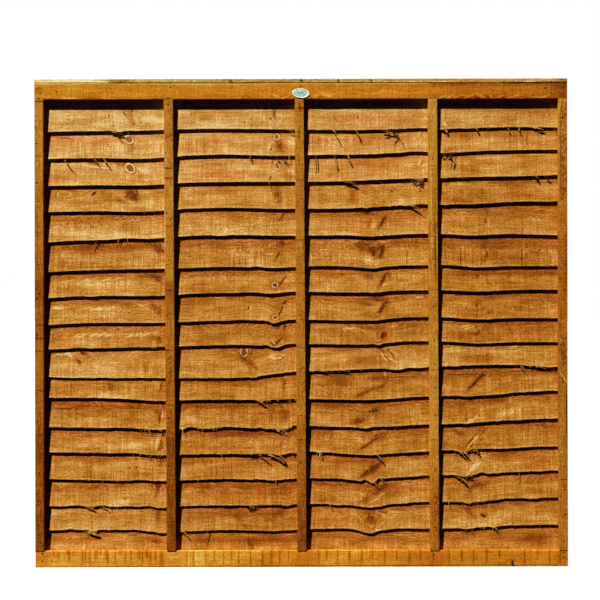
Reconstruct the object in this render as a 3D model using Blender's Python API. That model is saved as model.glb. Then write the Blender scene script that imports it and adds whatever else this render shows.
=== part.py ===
"""Overlap fence panel: waney lapped boards between a front and a back frame of rails and battens.

Units are metres. Front is -Y, up is +Z, the panel runs along +X.
The origin lies on the outer end face of the front left stile, at mid height.
"""
import bpy
import bmesh
import math
from mathutils import Vector

MM = 0.001

# Overall size
PANEL_LENGTH = 1828 * MM
PANEL_HEIGHT = 1675 * MM

# Frame timbers
RAIL_HEIGHT = 56 * MM
TIMBER_THICK = 16 * MM
BOTTOM_RAIL_THICK = 13.5 * MM
STILE_WIDTH = 30 * MM
BATTEN_WIDTH = 31 * MM
CAP_HEIGHT = 12 * MM
CAP_PROUD = 1.2 * MM
ARRIS = 0.8 * MM
GAP = 0.3 * MM

# Lapped boards
BOARD_THICK = 6 * MM
BOARD_END_INSET = 1 * MM
BOARD_CHAMFER = 1 * MM
WANE_RISE = 2.5 * MM
LAP_MIN = 18 * MM
TOP_BOARD_COVER = 36 * MM
LAST_COURSE_FOOT = 22 * MM
STATION_STEP = 48 * MM
SPACE_PASSES = 30

# Oval plate on the top rail
PLATE_WIDTH = 59 * MM
PLATE_HEIGHT = 33 * MM
PLATE_THICK = 1.9 * MM
PLATE_SIDE = 1.1 * MM
PLATE_FIELD = 1.1 * MM
PLATE_ROUND = 1 * MM
PLATE_RIM = 1.2 * MM
PLATE_SLOPE = 1 * MM
PLATE_SIDES = 48
PLATE_TILT = math.radians(3)
PLATE_SHARP = math.radians(25)
PLATE_RISE = 19 * MM

# Heights worked out from the values above
CAP_UNDER = PANEL_HEIGHT - CAP_HEIGHT
TOP_RAIL_TOP = CAP_UNDER - GAP
TOP_RAIL_UNDER = TOP_RAIL_TOP - RAIL_HEIGHT
UPRIGHT_FOOT = RAIL_HEIGHT + GAP
UPRIGHT_HEAD = TOP_RAIL_UNDER - GAP
PLATE_X = PANEL_LENGTH / 2
PLATE_Z = TOP_RAIL_UNDER + PLATE_RISE

# Depths: the front timbers are centred on y = 0
FRAME_FRONT = -TIMBER_THICK / 2
FRAME_BACK = TIMBER_THICK / 2
BOARD_FRONT = FRAME_BACK + GAP

# The battens divide the panel into four even bays. Each was nailed on a little off its mark:
# how far to the right its head and its foot lie
BAY = PANEL_LENGTH / 4
BATTENS = {
    "batten_1": (1, 2.5 * MM, 10 * MM),
    "batten_2": (2, -5 * MM, 1 * MM),
    "batten_3": (3, -4.5 * MM, 0 * MM),
}

# The courses of boards from the top one down. Each has its gauge, which is how far its lower edge
# lies below that of the course above (below the top rail for the first) at the left end, and the
# waney edge itself: how far along from the left end, and how far above its height there, in mm.
COURSES = [
    (111, [(0, 0), (220, 4), (375, 5), (444, 8), (600, 11), (740, 10), (900, 8), (1110, 8), (1240, 11),
           (1330, 15), (1414, 9), (1530, 15), (1640, 18), (1828, 15)]),
    (93, [(0, 0), (220, 3), (375, 1), (520, 11), (669, 15), (830, 11), (1000, 15), (1169, 18),
           (1290, 27), (1414, 23), (1560, 30), (1828, 33)]),
    (93, [(0, 0), (220, 3), (375, 2), (520, 11), (700, 14), (920, 14), (1100, 19), (1324, 28),
           (1514, 32), (1700, 35), (1828, 40)]),
    (90, [(0, 0), (220, 3), (375, 1), (520, 11), (669, 15), (830, 11), (1000, 12), (1169, 18),
           (1324, 28), (1500, 28), (1620, 35), (1828, 40)]),
    (106, [(0, 0), (150, 8), (400, 14), (513, 23), (669, 27), (850, 24), (1065, 27), (1150, 23),
           (1185, 25), (1290, 31), (1420, 31), (1500, 27), (1620, 31), (1828, 26)]),
    (103, [(0, 0), (150, 8), (400, 13), (520, 16), (669, 20), (824, 16), (965, 23), (1090, 23),
           (1165, 16), (1210, 24), (1330, 27), (1430, 27), (1510, 20), (1620, 23), (1828, 23)]),
    (90, [(0, 0), (180, 10), (420, 10), (530, 17), (669, 20), (800, 16), (876, 24), (1100, 23),
           (1280, 30), (1420, 30), (1514, 26), (1620, 30), (1721, 34), (1828, 30)]),
    (93, [(0, 0), (180, 10), (420, 10), (513, 13), (669, 20), (790, 17), (824, 12), (870, 20),
           (1150, 20), (1272, 30), (1420, 30), (1514, 23), (1640, 27), (1828, 27)]),
    (82, [(0, 0), (220, 5), (420, 9), (540, 12), (700, 16), (790, 12), (824, 7), (865, 18), (1150, 19),
           (1272, 29), (1414, 29), (1514, 22), (1640, 26), (1828, 26)]),
    (93, [(0, 0), (120, -4), (420, -5), (669, -5), (740, -2), (790, 4), (876, 15), (1000, 20),
           (1169, 28), (1350, 34), (1514, 40), (1721, 40), (1828, 31)]),
    (73, [(0, 0), (220, -1), (330, -6), (420, -12), (560, -8), (824, -8), (900, -5), (1065, -8),
           (1169, -8), (1290, 0), (1414, 5), (1514, 5), (1620, 12), (1710, 26), (1828, 18)]),
    (100, [(0, 0), (220, -5), (420, -11), (520, -2), (680, -2), (800, -8), (880, 2), (1065, -2),
           (1200, -1), (1324, 5), (1480, 10), (1617, 19), (1828, 28)]),
    (87, [(0, 0), (220, -4), (430, -11), (600, -8), (824, -8), (960, -1), (1065, -7), (1145, -12),
           (1230, -6), (1324, -1), (1500, 8), (1620, 10), (1721, 16), (1828, 17)]),
    (93, [(0, 0), (220, -5), (420, -8), (560, -4), (680, -1), (800, -8), (900, 1), (1050, -1),
           (1120, -10), (1155, -16), (1200, -1), (1280, 6), (1400, 12), (1514, 13), (1617, 20),
           (1828, 28)]),
    (92, [(0, 0), (220, -5), (330, -3), (420, -9), (520, -2), (800, 1), (960, 5), (1080, 1), (1140, -7),
           (1180, -5), (1225, 5), (1330, 11), (1520, 11), (1620, 22), (1828, 26)]),
    (85, [(0, 0), (350, 0), (420, -10), (520, -4), (669, 0), (820, -4), (950, 3), (1090, 3), (1135, -9),
           (1175, -11), (1215, 2), (1330, 4), (1500, 7), (1617, 14), (1828, 18)]),
    (101, [(0, 0), (420, -3), (900, 2), (1350, -2), (1828, 3)]),
]
TOP_BOARD_TOP = TOP_RAIL_UNDER + TOP_BOARD_COVER


def hex_colour(code):
    """Linear RGBA from an sRGB hex code."""
    channels = [int(code[i:i + 2], 16) / 255 for i in (0, 2, 4)]
    linear = [c / 12.92 if c <= 0.04045 else ((c + 0.055) / 1.055) ** 2.4 for c in channels]
    return (*linear, 1.0)


def make_material(name, code, roughness, metallic=0.0):
    material = bpy.data.materials.new(name)
    material.use_nodes = True
    shader = material.node_tree.nodes["Principled BSDF"]
    shader.inputs["Base Color"].default_value = hex_colour(code)
    shader.inputs["Roughness"].default_value = roughness
    shader.inputs["Metallic"].default_value = metallic
    material.diffuse_color = hex_colour(code)
    return material


def make_node(name, bm, material, location=(0.0, 0.0, 0.0)):
    """One named object from a bmesh, standing on the panel's foot."""
    bmesh.ops.recalc_face_normals(bm, faces=bm.faces)
    mesh = bpy.data.meshes.new(name)
    bm.to_mesh(mesh)
    bm.free()
    mesh.materials.append(material)
    node = bpy.data.objects.new(name, mesh)
    node.location = location
    node.parent = FOOT
    bpy.context.collection.objects.link(node)
    return node


def fit_edges():
    """The lower edge of every course, fitted to the panel's own length and height."""
    total = sum(gauge for gauge, wave in COURSES)
    room = TOP_RAIL_UNDER - LAST_COURSE_FOOT
    height = TOP_RAIL_UNDER
    edges = []
    for gauge, wave in COURSES:
        height -= gauge / total * room
        drawn_length = wave[-1][0]
        xs = [along / drawn_length * PANEL_LENGTH for along, rise in wave]
        zs = [height + rise * MM for along, rise in wave]
        edges.append((xs, zs))
    return edges


def edge_height(edge, x):
    """Smooth height of a waney edge at x, through the hand-set points."""
    xs, zs = edge
    last = len(xs) - 1
    i = 0
    while i < last - 1 and x > xs[i + 1]:
        i += 1
    slopes = []
    for k in (i, i + 1):
        a = max(k - 1, 0)
        b = min(k + 1, last)
        slopes.append((zs[b] - zs[a]) / (xs[b] - xs[a]))
    span = xs[i + 1] - xs[i]
    u = (x - xs[i]) / span
    h00 = 2 * u ** 3 - 3 * u ** 2 + 1
    h10 = u ** 3 - 2 * u ** 2 + u
    h01 = -2 * u ** 3 + 3 * u ** 2
    h11 = u ** 3 - u ** 2
    return h00 * zs[i] + h10 * span * slopes[0] + h01 * zs[i + 1] + h11 * span * slopes[1]


def edge_stations(edge):
    """Stations along a board: every hand-set point, and even steps between them."""
    xs = list(edge[0])
    xs[0] = BOARD_END_INSET
    xs[-1] = PANEL_LENGTH - BOARD_END_INSET
    stations = [xs[0]]
    for a, b in zip(xs, xs[1:]):
        steps = max(1, round((b - a) / STATION_STEP))
        for k in range(1, steps + 1):
            stations.append(a + (b - a) * k / steps)
    return stations


def base_line(edge):
    """Straight line just under a waney edge: its height at x = 0 and its slope."""
    xs, zs = edge
    slope = (zs[-1] - zs[0]) / (xs[-1] - xs[0])
    start = min(edge_height(edge, x) - slope * x for x in edge_stations(edge))
    return start, slope


def line_at(line, x):
    return line[0] + line[1] * x


def head_line(above):
    """Straight sawn head of a board: clear above every wave of the edge that laps over it."""
    edge = above["edge"]
    wave = max(edge_height(edge, x) - line_at(above["base"], x) for x in edge_stations(edge))
    return above["base"][0] + wave + LAP_MIN, above["base"][1]


def lap_lean(base, top, above):
    """Least lean that lets a board's head pass behind the board above it."""
    lean = 0.0
    need = BOARD_THICK * math.hypot(1, above["lean"]) + GAP
    for x in (0.0, PANEL_LENGTH):
        low = line_at(base, x)
        head = line_at(top, x)
        tip = line_at(above["base"], x)
        lean = max(lean, need / (tip - low))
        lean = max(lean, ((head - tip) * above["lean"] + need) / (head - low))
    return lean


def resting_lean(space, rise):
    """Lean of a board whose foot is at the front of the space and whose head is at the back."""
    lean = (space - BOARD_THICK) / rise
    return max(space - BOARD_THICK * math.hypot(1, lean), 0.0) / rise


def board_rise(base, top):
    """Largest height of a board from its base line to its head."""
    return max(line_at(top, x) - line_at(base, x) for x in (0.0, PANEL_LENGTH))


def plan_boards(space):
    """Base line, head line and lean of every board, from the top one down.

    A board's foot rests on the front frame and its head on the back frame, which lies at the
    given space behind it, unless the lap over it needs more lean than that.
    """
    plans = []
    for edge in fit_edges():
        base = base_line(edge)
        top = head_line(plans[-1]) if plans else (TOP_BOARD_TOP, 0.0)
        lean = resting_lean(space, board_rise(base, top))
        if plans:
            lean = max(lean, lap_lean(base, top, plans[-1]))
        plans.append({"edge": edge, "base": base, "top": top, "lean": lean})
    return plans


def board_space(plans):
    """Depth that the deepest board takes up between the two frames."""
    return max(
        board_rise(plan["base"], plan["top"]) * plan["lean"] + BOARD_THICK * math.hypot(1, plan["lean"])
        for plan in plans
    )


def add_board(name, plan, material):
    """A thin sawn board: straight head, waney foot with a worn front corner and an undercut back."""
    edge = plan["edge"]
    depth = BOARD_THICK * math.hypot(1, plan["lean"])
    bm = bmesh.new()
    sections = []
    for x in edge_stations(edge):
        low = edge_height(edge, x)
        head = line_at(plan["top"], x)
        ring = []
        for z, back in (
            (head, 0.0),
            (low + BOARD_CHAMFER, 0.0),
            (low, BOARD_CHAMFER),
            (low + WANE_RISE, depth),
            (head, depth),
        ):
            y = BOARD_FRONT + (z - line_at(plan["base"], x)) * plan["lean"] + back
            ring.append(bm.verts.new((x, y, z)))
        sections.append(ring)
    for left, right in zip(sections, sections[1:]):
        for i in range(5):
            j = (i + 1) % 5
            bm.faces.new((left[i], left[j], right[j], right[i]))
    bm.faces.new(sections[0])
    bm.faces.new(list(reversed(sections[-1])))
    return make_node(name, bm, material)


def add_timber(name, size, location, material, head_shift=0.0):
    """A sawn timber with its arrises taken off. head_shift moves the head along x."""
    bm = bmesh.new()
    bmesh.ops.create_cube(bm, size=1.0)
    bmesh.ops.scale(bm, vec=size, verts=bm.verts)
    bmesh.ops.bevel(bm, geom=list(bm.edges), offset=ARRIS, offset_type="OFFSET", segments=1, affect="EDGES")
    for vert in bm.verts:
        vert.co.x += head_shift * vert.co.z / size[2]
    return make_node(name, bm, material, location)


def add_frame(side, front_y, bottom_y, bottom_thick):
    """Rails, stiles and battens of one side. side is the name's prefix."""
    mid_y = front_y + TIMBER_THICK / 2
    mid_x = PANEL_LENGTH / 2
    rail_size = (PANEL_LENGTH, TIMBER_THICK, RAIL_HEIGHT)
    foot_size = (PANEL_LENGTH, bottom_thick, RAIL_HEIGHT)
    add_timber(side + "top_rail", rail_size, (mid_x, mid_y, TOP_RAIL_TOP - RAIL_HEIGHT / 2), RAIL_WOOD)
    add_timber(side + "bottom_rail", foot_size, (mid_x, bottom_y + bottom_thick / 2, RAIL_HEIGHT / 2),
               RAIL_WOOD)
    height = UPRIGHT_HEAD - UPRIGHT_FOOT
    mid_z = (UPRIGHT_HEAD + UPRIGHT_FOOT) / 2
    stile_size = (STILE_WIDTH, TIMBER_THICK, height)
    add_timber(side + "left_stile", stile_size, (STILE_WIDTH / 2, mid_y, mid_z), BATTEN_WOOD)
    add_timber(side + "right_stile", stile_size, (PANEL_LENGTH - STILE_WIDTH / 2, mid_y, mid_z),
               BATTEN_WOOD)
    batten_size = (BATTEN_WIDTH, TIMBER_THICK, height)
    for name, (bay, head_off, foot_off) in BATTENS.items():
        centre = (bay * BAY + (head_off + foot_off) / 2, mid_y, mid_z)
        add_timber(side + name, batten_size, centre, BATTEN_WOOD, head_off - foot_off)


def add_plate():
    """Bare oval plate with a raised rim, lying on the top rail's face."""
    bm = bmesh.new()
    half_w = PLATE_WIDTH / 2
    half_h = PLATE_HEIGHT / 2
    rings = []
    profile = (
        (0.0, 0.0),
        (0.0, PLATE_SIDE),
        (PLATE_ROUND, PLATE_THICK),
        (PLATE_ROUND + PLATE_RIM, PLATE_THICK),
        (PLATE_ROUND + PLATE_RIM + PLATE_SLOPE, PLATE_FIELD),
    )
    for inset, rise in profile:
        ring = []
        for k in range(PLATE_SIDES):
            angle = 2 * math.pi * k / PLATE_SIDES
            ring.append(bm.verts.new(((half_w - inset) * math.cos(angle), -rise,
                                      (half_h - inset) * math.sin(angle))))
        rings.append(ring)
    for outer, inner in zip(rings, rings[1:]):
        for k in range(PLATE_SIDES):
            j = (k + 1) % PLATE_SIDES
            bm.faces.new((outer[k], outer[j], inner[j], inner[k]))
    bm.faces.new(rings[-1])
    bm.faces.new(list(reversed(rings[0])))
    plate = make_node("oval_plate", bm, PLATE_METAL, (PLATE_X, FRAME_FRONT - GAP, PLATE_Z))
    plate.rotation_euler = (0.0, PLATE_TILT, 0.0)
    plate.data.shade_smooth()
    plate.data.set_sharp_from_angle(angle=PLATE_SHARP)


for leftover in list(bpy.data.objects):
    bpy.data.objects.remove(leftover, do_unlink=True)

BOARD_WOOD = make_material("board_wood", "C9954F", 0.75)
BATTEN_WOOD = make_material("batten_wood", "AE6F2C", 0.75)
RAIL_WOOD = make_material("rail_wood", "BC7A2B", 0.75)
CAP_WOOD = make_material("cap_wood", "C79A55", 0.75)
PLATE_METAL = make_material("plate_metal", "A9C4BE", 0.35, 1.0)

# The foot empty puts the origin at mid height of the left end face
FOOT = bpy.data.objects.new("panel_foot", None)
FOOT.location = Vector((0.0, 0.0, -PANEL_HEIGHT / 2))
bpy.context.collection.objects.link(FOOT)

# The frames close up on the boards until the tightest lap just fits
SPACE = BOARD_THICK
for attempt in range(SPACE_PASSES):
    PLANS = plan_boards(SPACE)
    SPACE = board_space(PLANS)
for number, plan in enumerate(PLANS, start=1):
    add_board(f"board_{number:02d}", plan, BOARD_WOOD)

BACK_FRAME_FRONT = BOARD_FRONT + SPACE + GAP
BACK_FRAME_BACK = BACK_FRAME_FRONT + TIMBER_THICK

add_frame("", FRAME_FRONT, FRAME_BACK - BOTTOM_RAIL_THICK, BOTTOM_RAIL_THICK)
add_frame("rear_", BACK_FRAME_FRONT, BACK_FRAME_FRONT, BOTTOM_RAIL_THICK)

cap_front = FRAME_FRONT - CAP_PROUD
cap_depth = BACK_FRAME_BACK + CAP_PROUD - cap_front
add_timber("capping_strip", (PANEL_LENGTH, cap_depth, CAP_HEIGHT),
           (PANEL_LENGTH / 2, cap_front + cap_depth / 2, PANEL_HEIGHT - CAP_HEIGHT / 2), CAP_WOOD)
add_plate()
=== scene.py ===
"""Looks of the overlap fence panel: sawn waney boards in a nailed timber frame, dip treated golden brown.

Everything is in metres in the frame of the CAD: front is -Y, up is +Z, the panel runs along +X.
Marks seen in the photograph are placed by their pixel, on the piece that carries them.
"""
import math

import bmesh
import bpy
import numpy as np
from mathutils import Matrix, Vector


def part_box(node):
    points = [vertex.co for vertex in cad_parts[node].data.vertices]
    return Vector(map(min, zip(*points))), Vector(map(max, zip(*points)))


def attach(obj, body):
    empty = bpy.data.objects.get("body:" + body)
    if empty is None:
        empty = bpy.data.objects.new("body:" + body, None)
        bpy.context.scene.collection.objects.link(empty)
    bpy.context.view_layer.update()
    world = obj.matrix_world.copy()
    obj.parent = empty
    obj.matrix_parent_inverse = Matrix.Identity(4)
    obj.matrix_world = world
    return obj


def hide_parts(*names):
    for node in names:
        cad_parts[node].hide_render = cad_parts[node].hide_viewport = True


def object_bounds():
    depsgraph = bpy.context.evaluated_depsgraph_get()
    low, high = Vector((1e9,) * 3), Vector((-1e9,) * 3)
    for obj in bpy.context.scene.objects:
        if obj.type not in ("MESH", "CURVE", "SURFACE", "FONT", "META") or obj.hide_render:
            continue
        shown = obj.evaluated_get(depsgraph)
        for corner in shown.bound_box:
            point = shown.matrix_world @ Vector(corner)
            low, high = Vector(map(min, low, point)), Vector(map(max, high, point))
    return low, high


MM = 0.001

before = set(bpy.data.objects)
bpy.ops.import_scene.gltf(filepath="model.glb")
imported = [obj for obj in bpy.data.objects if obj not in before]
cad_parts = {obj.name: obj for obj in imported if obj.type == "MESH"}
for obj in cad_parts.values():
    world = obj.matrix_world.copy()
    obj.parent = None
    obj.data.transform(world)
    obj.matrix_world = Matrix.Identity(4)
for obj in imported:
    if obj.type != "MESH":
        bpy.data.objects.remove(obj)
CAD_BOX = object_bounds()

# Camera: level, square on to the panel, a little above its middle, rolled by a part of a degree
CAMERA_X = 910 * MM
CAMERA_Z = 79 * MM
CAMERA_AWAY = 3400 * MM
CAMERA_ROLL = 0.12
SENSOR = 36.0
# The picture's pixels a side, and the width that it shows at the frame's face
PICTURE = 600
VIEW_WIDTH = 2058 * MM
PIXEL = VIEW_WIDTH / PICTURE
FRONT_Y = -8 * MM


def linear(code):
    """Linear RGBA from an sRGB hex code."""
    channels = [int(code[i:i + 2], 16) / 255 for i in (0, 2, 4)]
    return (*[c / 12.92 if c <= 0.04045 else ((c + 0.055) / 1.055) ** 2.4 for c in channels], 1.0)


# Settings that many nodes share
TIMES = {"operation": "MULTIPLY"}
TIMES_PLUS = {"operation": "MULTIPLY_ADD"}
SMOOTH = {"interpolation_type": "SMOOTHSTEP"}
COLOURS = {"data_type": "RGBA"}


def add_node(tree, kind, settings=None, **sockets):
    """Adds one node. Each socket, by its name or i and its number, gets a constant or a link."""
    node = tree.nodes.new(kind)
    for key, value in (settings or {}).items():
        setattr(node, key, value)
    for key, value in sockets.items():
        by_number = key[0] == "i" and key[1:].isdigit()
        socket = node.inputs[int(key[1:])] if by_number else node.inputs[key.replace("_", " ")]
        if isinstance(value, bpy.types.Node):
            value = value.outputs[0]
        if isinstance(value, bpy.types.NodeSocket):
            tree.links.new(value, socket)
        else:
            socket.default_value = value
    return node


def new_material(name):
    """An empty material and its node tree."""
    material = bpy.data.materials.new(name)
    material.use_nodes = True
    material.node_tree.nodes.clear()
    return material, material.node_tree


def set_stops(ramp, places, codes):
    """Gives a colour ramp its stops."""
    stops = ramp.color_ramp.elements
    for place in places[1:-1]:
        stops.new(place)
    for stop, place, code in zip(stops, places, codes):
        stop.position = place
        stop.color = linear(code)


def make_camera():
    """The camera that took the photograph, as far as its picture tells."""
    data = bpy.data.cameras.new("camera")
    data.sensor_width = SENSOR
    data.lens = SENSOR * CAMERA_AWAY / VIEW_WIDTH
    camera = bpy.data.objects.new("camera", data)
    camera.location = (CAMERA_X, FRONT_Y - CAMERA_AWAY, CAMERA_Z)
    camera.rotation_euler = (math.radians(90), math.radians(CAMERA_ROLL), 0)
    bpy.context.scene.collection.objects.link(camera)
    bpy.context.scene.camera = camera


def add_sun(name, towards, strength, angle, colour):
    """A lamp whose light travels along the given direction."""
    data = bpy.data.lights.new(name, "SUN")
    data.energy = strength
    data.angle = math.radians(angle)
    data.color = linear(colour)[:3]
    lamp = bpy.data.objects.new(name, data)
    lamp.rotation_euler = Vector(towards).to_track_quat("-Z", "Y").to_euler()
    bpy.context.scene.collection.objects.link(lamp)


# Fill light is dim in front, so that the laps' shadows stay deep, and soft behind
FRONT_FILL = 0.018
BACK_FILL = 0.40
WHITE = (1, 1, 1, 1)
# How far the floor lies under the panel's foot, and how far it reaches in metres
FLOOR_DROP = 0.5 * MM
FLOOR_REACH = 40.0


def seen_directly(tree):
    """1 for the rays that look at the white surroundings, 0 for those that light the panel."""
    rays = add_node(tree, "ShaderNodeLightPath")
    straight = add_node(tree, "ShaderNodeMath", {"operation": "MAXIMUM"},
                        i0=rays.outputs["Is Camera Ray"], i1=rays.outputs["Is Transmission Ray"])
    return add_node(tree, "ShaderNodeMath", {"operation": "MAXIMUM"},
                    i0=rays.outputs["Is Glossy Ray"], i1=straight)


def make_lights():
    """A key lamp from the upper left, a back lamp, and surroundings dim in front and soft behind."""
    add_sun("key_lamp", (0.84, 1.0, -1.65), 6.6, 1.0, "FFFCF6")
    add_sun("back_lamp", (-0.9, -1.0, -0.9), 2.4, 8.0, "FFFFFF")
    world = bpy.data.worlds.new("studio")
    world.use_nodes = True
    tree = world.node_tree
    tree.nodes.clear()
    seen = seen_directly(tree)
    side = add_node(tree, "ShaderNodeSeparateXYZ",
                    Vector=add_node(tree, "ShaderNodeTexCoord").outputs["Generated"])
    behind = add_node(tree, "ShaderNodeMapRange", Value=side.outputs["Y"], From_Min=-0.1, From_Max=0.6)
    soft = add_node(tree, "ShaderNodeMix", {"data_type": "FLOAT"}, i0=behind, i2=FRONT_FILL, i3=BACK_FILL)
    strength = add_node(tree, "ShaderNodeMix", {"data_type": "FLOAT"}, i0=seen, i2=soft, i3=1.0)
    cool = add_node(tree, "ShaderNodeMix", COLOURS, i0=behind, i6=linear("8FB0FF"), i7=WHITE)
    tint = add_node(tree, "ShaderNodeMix", COLOURS, i0=seen, i6=cool.outputs[2], i7=WHITE)
    light = add_node(tree, "ShaderNodeBackground", Color=tint.outputs[2], Strength=strength)
    add_node(tree, "ShaderNodeOutputWorld", Surface=light)
    bpy.context.scene.world = world


def make_floor():
    """A plain pale floor under the panel's foot, white to the camera and dim to the light it returns."""
    mesh = bpy.data.meshes.new("floor")
    low = CAD_BOX[0][2] - FLOOR_DROP
    signs = ((-1, -1), (1, -1), (1, 1), (-1, 1))
    mesh.from_pydata([(x * FLOOR_REACH, y * FLOOR_REACH, low) for x, y in signs], [], [(0, 1, 2, 3)])
    floor = bpy.data.objects.new("floor", mesh)
    bpy.context.scene.collection.objects.link(floor)
    material, tree = new_material("pale_floor")
    seen = seen_directly(tree)
    white = add_node(tree, "ShaderNodeEmission", Color=WHITE, Strength=0.90)
    shaded = add_node(tree, "ShaderNodeBsdfDiffuse", Color=linear("8A8A8A"))
    dim = add_node(tree, "ShaderNodeBsdfDiffuse", Color=linear("060606"))
    shown = add_node(tree, "ShaderNodeAddShader", i0=white, i1=shaded)
    both = add_node(tree, "ShaderNodeMixShader", i0=seen, i1=dim, i2=shown)
    add_node(tree, "ShaderNodeOutputMaterial", Surface=both)
    mesh.materials.append(material)


def across_at(px, y):
    """The x at which a picture column shows, at depth y."""
    return CAMERA_X + (px - PICTURE / 2) * PIXEL * (CAMERA_AWAY + y - FRONT_Y) / CAMERA_AWAY


def height_at(py, y):
    """The z at which a picture row shows, at depth y."""
    return CAMERA_Z - (py - PICTURE / 2) * PIXEL * (CAMERA_AWAY + y - FRONT_Y) / CAMERA_AWAY


# Treated softwood, sawn: from a dark stain to pale sapwood, and the bare wood that only a full tone shows
TONE_PLACES = (0.0, 0.45, 0.65, 0.82, 1.0, 1.0)
BOARD_TONES = ("2E1607", "884A10", "AE6C20", "C68C44", "D6A96C", "E3C08C")
UPRIGHT_TONES = ("2A1205", "7C3B0C", "A96419", "C08530", "D6A552", "E0BA70")
CAP_TONES = ("2E1A08", "7E5216", "A8782A", "C59A45", "DDBB6C", "F8E2AC")
RAIL_TONES = ("331605", "8E480B", "B96E16", "D2871F", "E2A742", "EBC070")

# What each point of a wooden piece carries for the wood shader
PAINTS = ("grain", "finish", "texture", "knot", "knot_look", "mark", "mark_look")


def make_wood(name, tones, figure):
    """Sawn softwood in a dip treatment: growth rings, fibres along the grain, saw marks across it.

    Every point of a piece carries: grain, its place in the log in mm (along, across, deep);
    finish (tone, redness, stain); knot (two distances in knot radii, how near); knot_look (rim, heart,
    radius in mm); texture (rings, saw marks, torn flakes); mark (two distances in half widths of the
    nearest streak, how near) and mark_look (its tone, redness, stain).
    """
    material, tree = new_material(name)
    painted = {}
    for label in PAINTS:
        painted[label] = add_node(tree, "ShaderNodeAttribute", {"attribute_name": label}).outputs["Vector"]
    log = painted["grain"]
    finish, texture, knot, look, mark, mark_look = [
        add_node(tree, "ShaderNodeSeparateXYZ", Vector=painted[label]) for label in PAINTS[1:]]

    # Distance from the knot's middle, in radii, a little uneven
    uneven = add_node(tree, "ShaderNodeTexNoise", Scale=1.0, Detail=2.0, Vector=add_node(
        tree, "ShaderNodeVectorMath", TIMES, i0=log, i1=(0.12, 0.12, 0.12)))
    plane = add_node(tree, "ShaderNodeCombineXYZ", X=knot.outputs["X"], Y=knot.outputs["Y"])
    smooth = add_node(tree, "ShaderNodeVectorMath", {"operation": "LENGTH"}, i0=plane)
    radius = add_node(tree, "ShaderNodeMath", TIMES_PLUS,
                      i0=uneven.outputs["Fac"], i1=0.4, i2=smooth.outputs["Value"])
    near = knot.outputs["Z"]
    inside = add_node(tree, "ShaderNodeMath", TIMES, i1=near, i0=add_node(
        tree, "ShaderNodeMapRange", SMOOTH, Value=radius, From_Min=0.95, From_Max=0.74))
    halo = add_node(tree, "ShaderNodeMath", TIMES, i1=near, i0=add_node(
        tree, "ShaderNodeMapRange", SMOOTH, Value=radius, From_Min=2.6, From_Max=1.1))
    rim = add_node(tree, "ShaderNodeMath", TIMES, i1=near, i0=add_node(
        tree, "ShaderNodeMapRange", SMOOTH, From_Min=0.17, From_Max=0.06,
        Value=add_node(tree, "ShaderNodeMath", {"operation": "ABSOLUTE"}, i0=add_node(
            tree, "ShaderNodeMath", {"operation": "SUBTRACT"}, i0=radius, i1=1.08))))

    # The grain parts and flows round the knot
    bend = add_node(tree, "ShaderNodeMath", TIMES, i0=halo, i1=add_node(
        tree, "ShaderNodeMath", TIMES, i0=knot.outputs["Y"], i1=look.outputs["Z"]))
    flow = add_node(tree, "ShaderNodeVectorMath", {"operation": "SUBTRACT"}, i0=log,
                    i1=add_node(tree, "ShaderNodeCombineXYZ", Y=bend))

    # Growth rings: the log's pith wanders, so a flat board shows long flames, about 5 mm a ring
    wander = add_node(tree, "ShaderNodeTexNoise", Scale=1.0, Detail=2.0, Vector=add_node(
        tree, "ShaderNodeVectorMath", TIMES, i0=log, i1=(0.006, 0.012, 0.012)))
    centred = add_node(tree, "ShaderNodeVectorMath", {"operation": "SUBTRACT"},
                       i0=wander.outputs["Color"], i1=(0.5, 0.5, 0.5))
    drift = add_node(tree, "ShaderNodeVectorMath", {"operation": "SCALE"}, i0=centred, Scale=90.0)
    drifted = add_node(tree, "ShaderNodeVectorMath", {"operation": "ADD"}, i0=flow, i1=drift)
    flat = add_node(tree, "ShaderNodeVectorMath", TIMES, i0=drifted, i1=(0.0, 1.0, 1.0))
    from_pith = add_node(tree, "ShaderNodeVectorMath", {"operation": "LENGTH"}, i0=flat)
    rings = add_node(tree, "ShaderNodeMath", TIMES, i0=from_pith.outputs["Value"], i1=0.19)
    years = add_node(tree, "ShaderNodeMath", {"operation": "FRACT"}, i0=rings)
    season = add_node(tree, "ShaderNodeMath", {"operation": "POWER"}, i0=years, i1=1.8)
    late = add_node(tree, "ShaderNodeMath", {"operation": "PINGPONG"}, i0=season, i1=0.5)
    late_wood = add_node(tree, "ShaderNodeMapRange", Value=late, From_Min=0.0, From_Max=0.5)

    # Fibres, saw marks, clouds and grit, each as a noise stretched to its own real size in mm
    def streaks(along, across, detail, rough):
        """A noise of streaks that long and that wide."""
        stretched = add_node(tree, "ShaderNodeVectorMath", TIMES,
                             i0=flow, i1=(1 / along, 1 / across, 1 / across))
        return add_node(tree, "ShaderNodeTexNoise", Vector=stretched, Scale=1.0,
                        Detail=detail, Roughness=rough)

    fibre = streaks(90, 4.6, 2.0, 0.6)
    saw = streaks(4.6, 150, 2.0, 0.6)
    clouds = streaks(110, 34, 2.0, 0.5)
    grit = streaks(6.0, 3.1, 1.0, 0.7)
    flake = streaks(9.0, 4.4, 2.0, 0.6)
    patches = streaks(46, 21, 2.0, 0.6)

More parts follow.
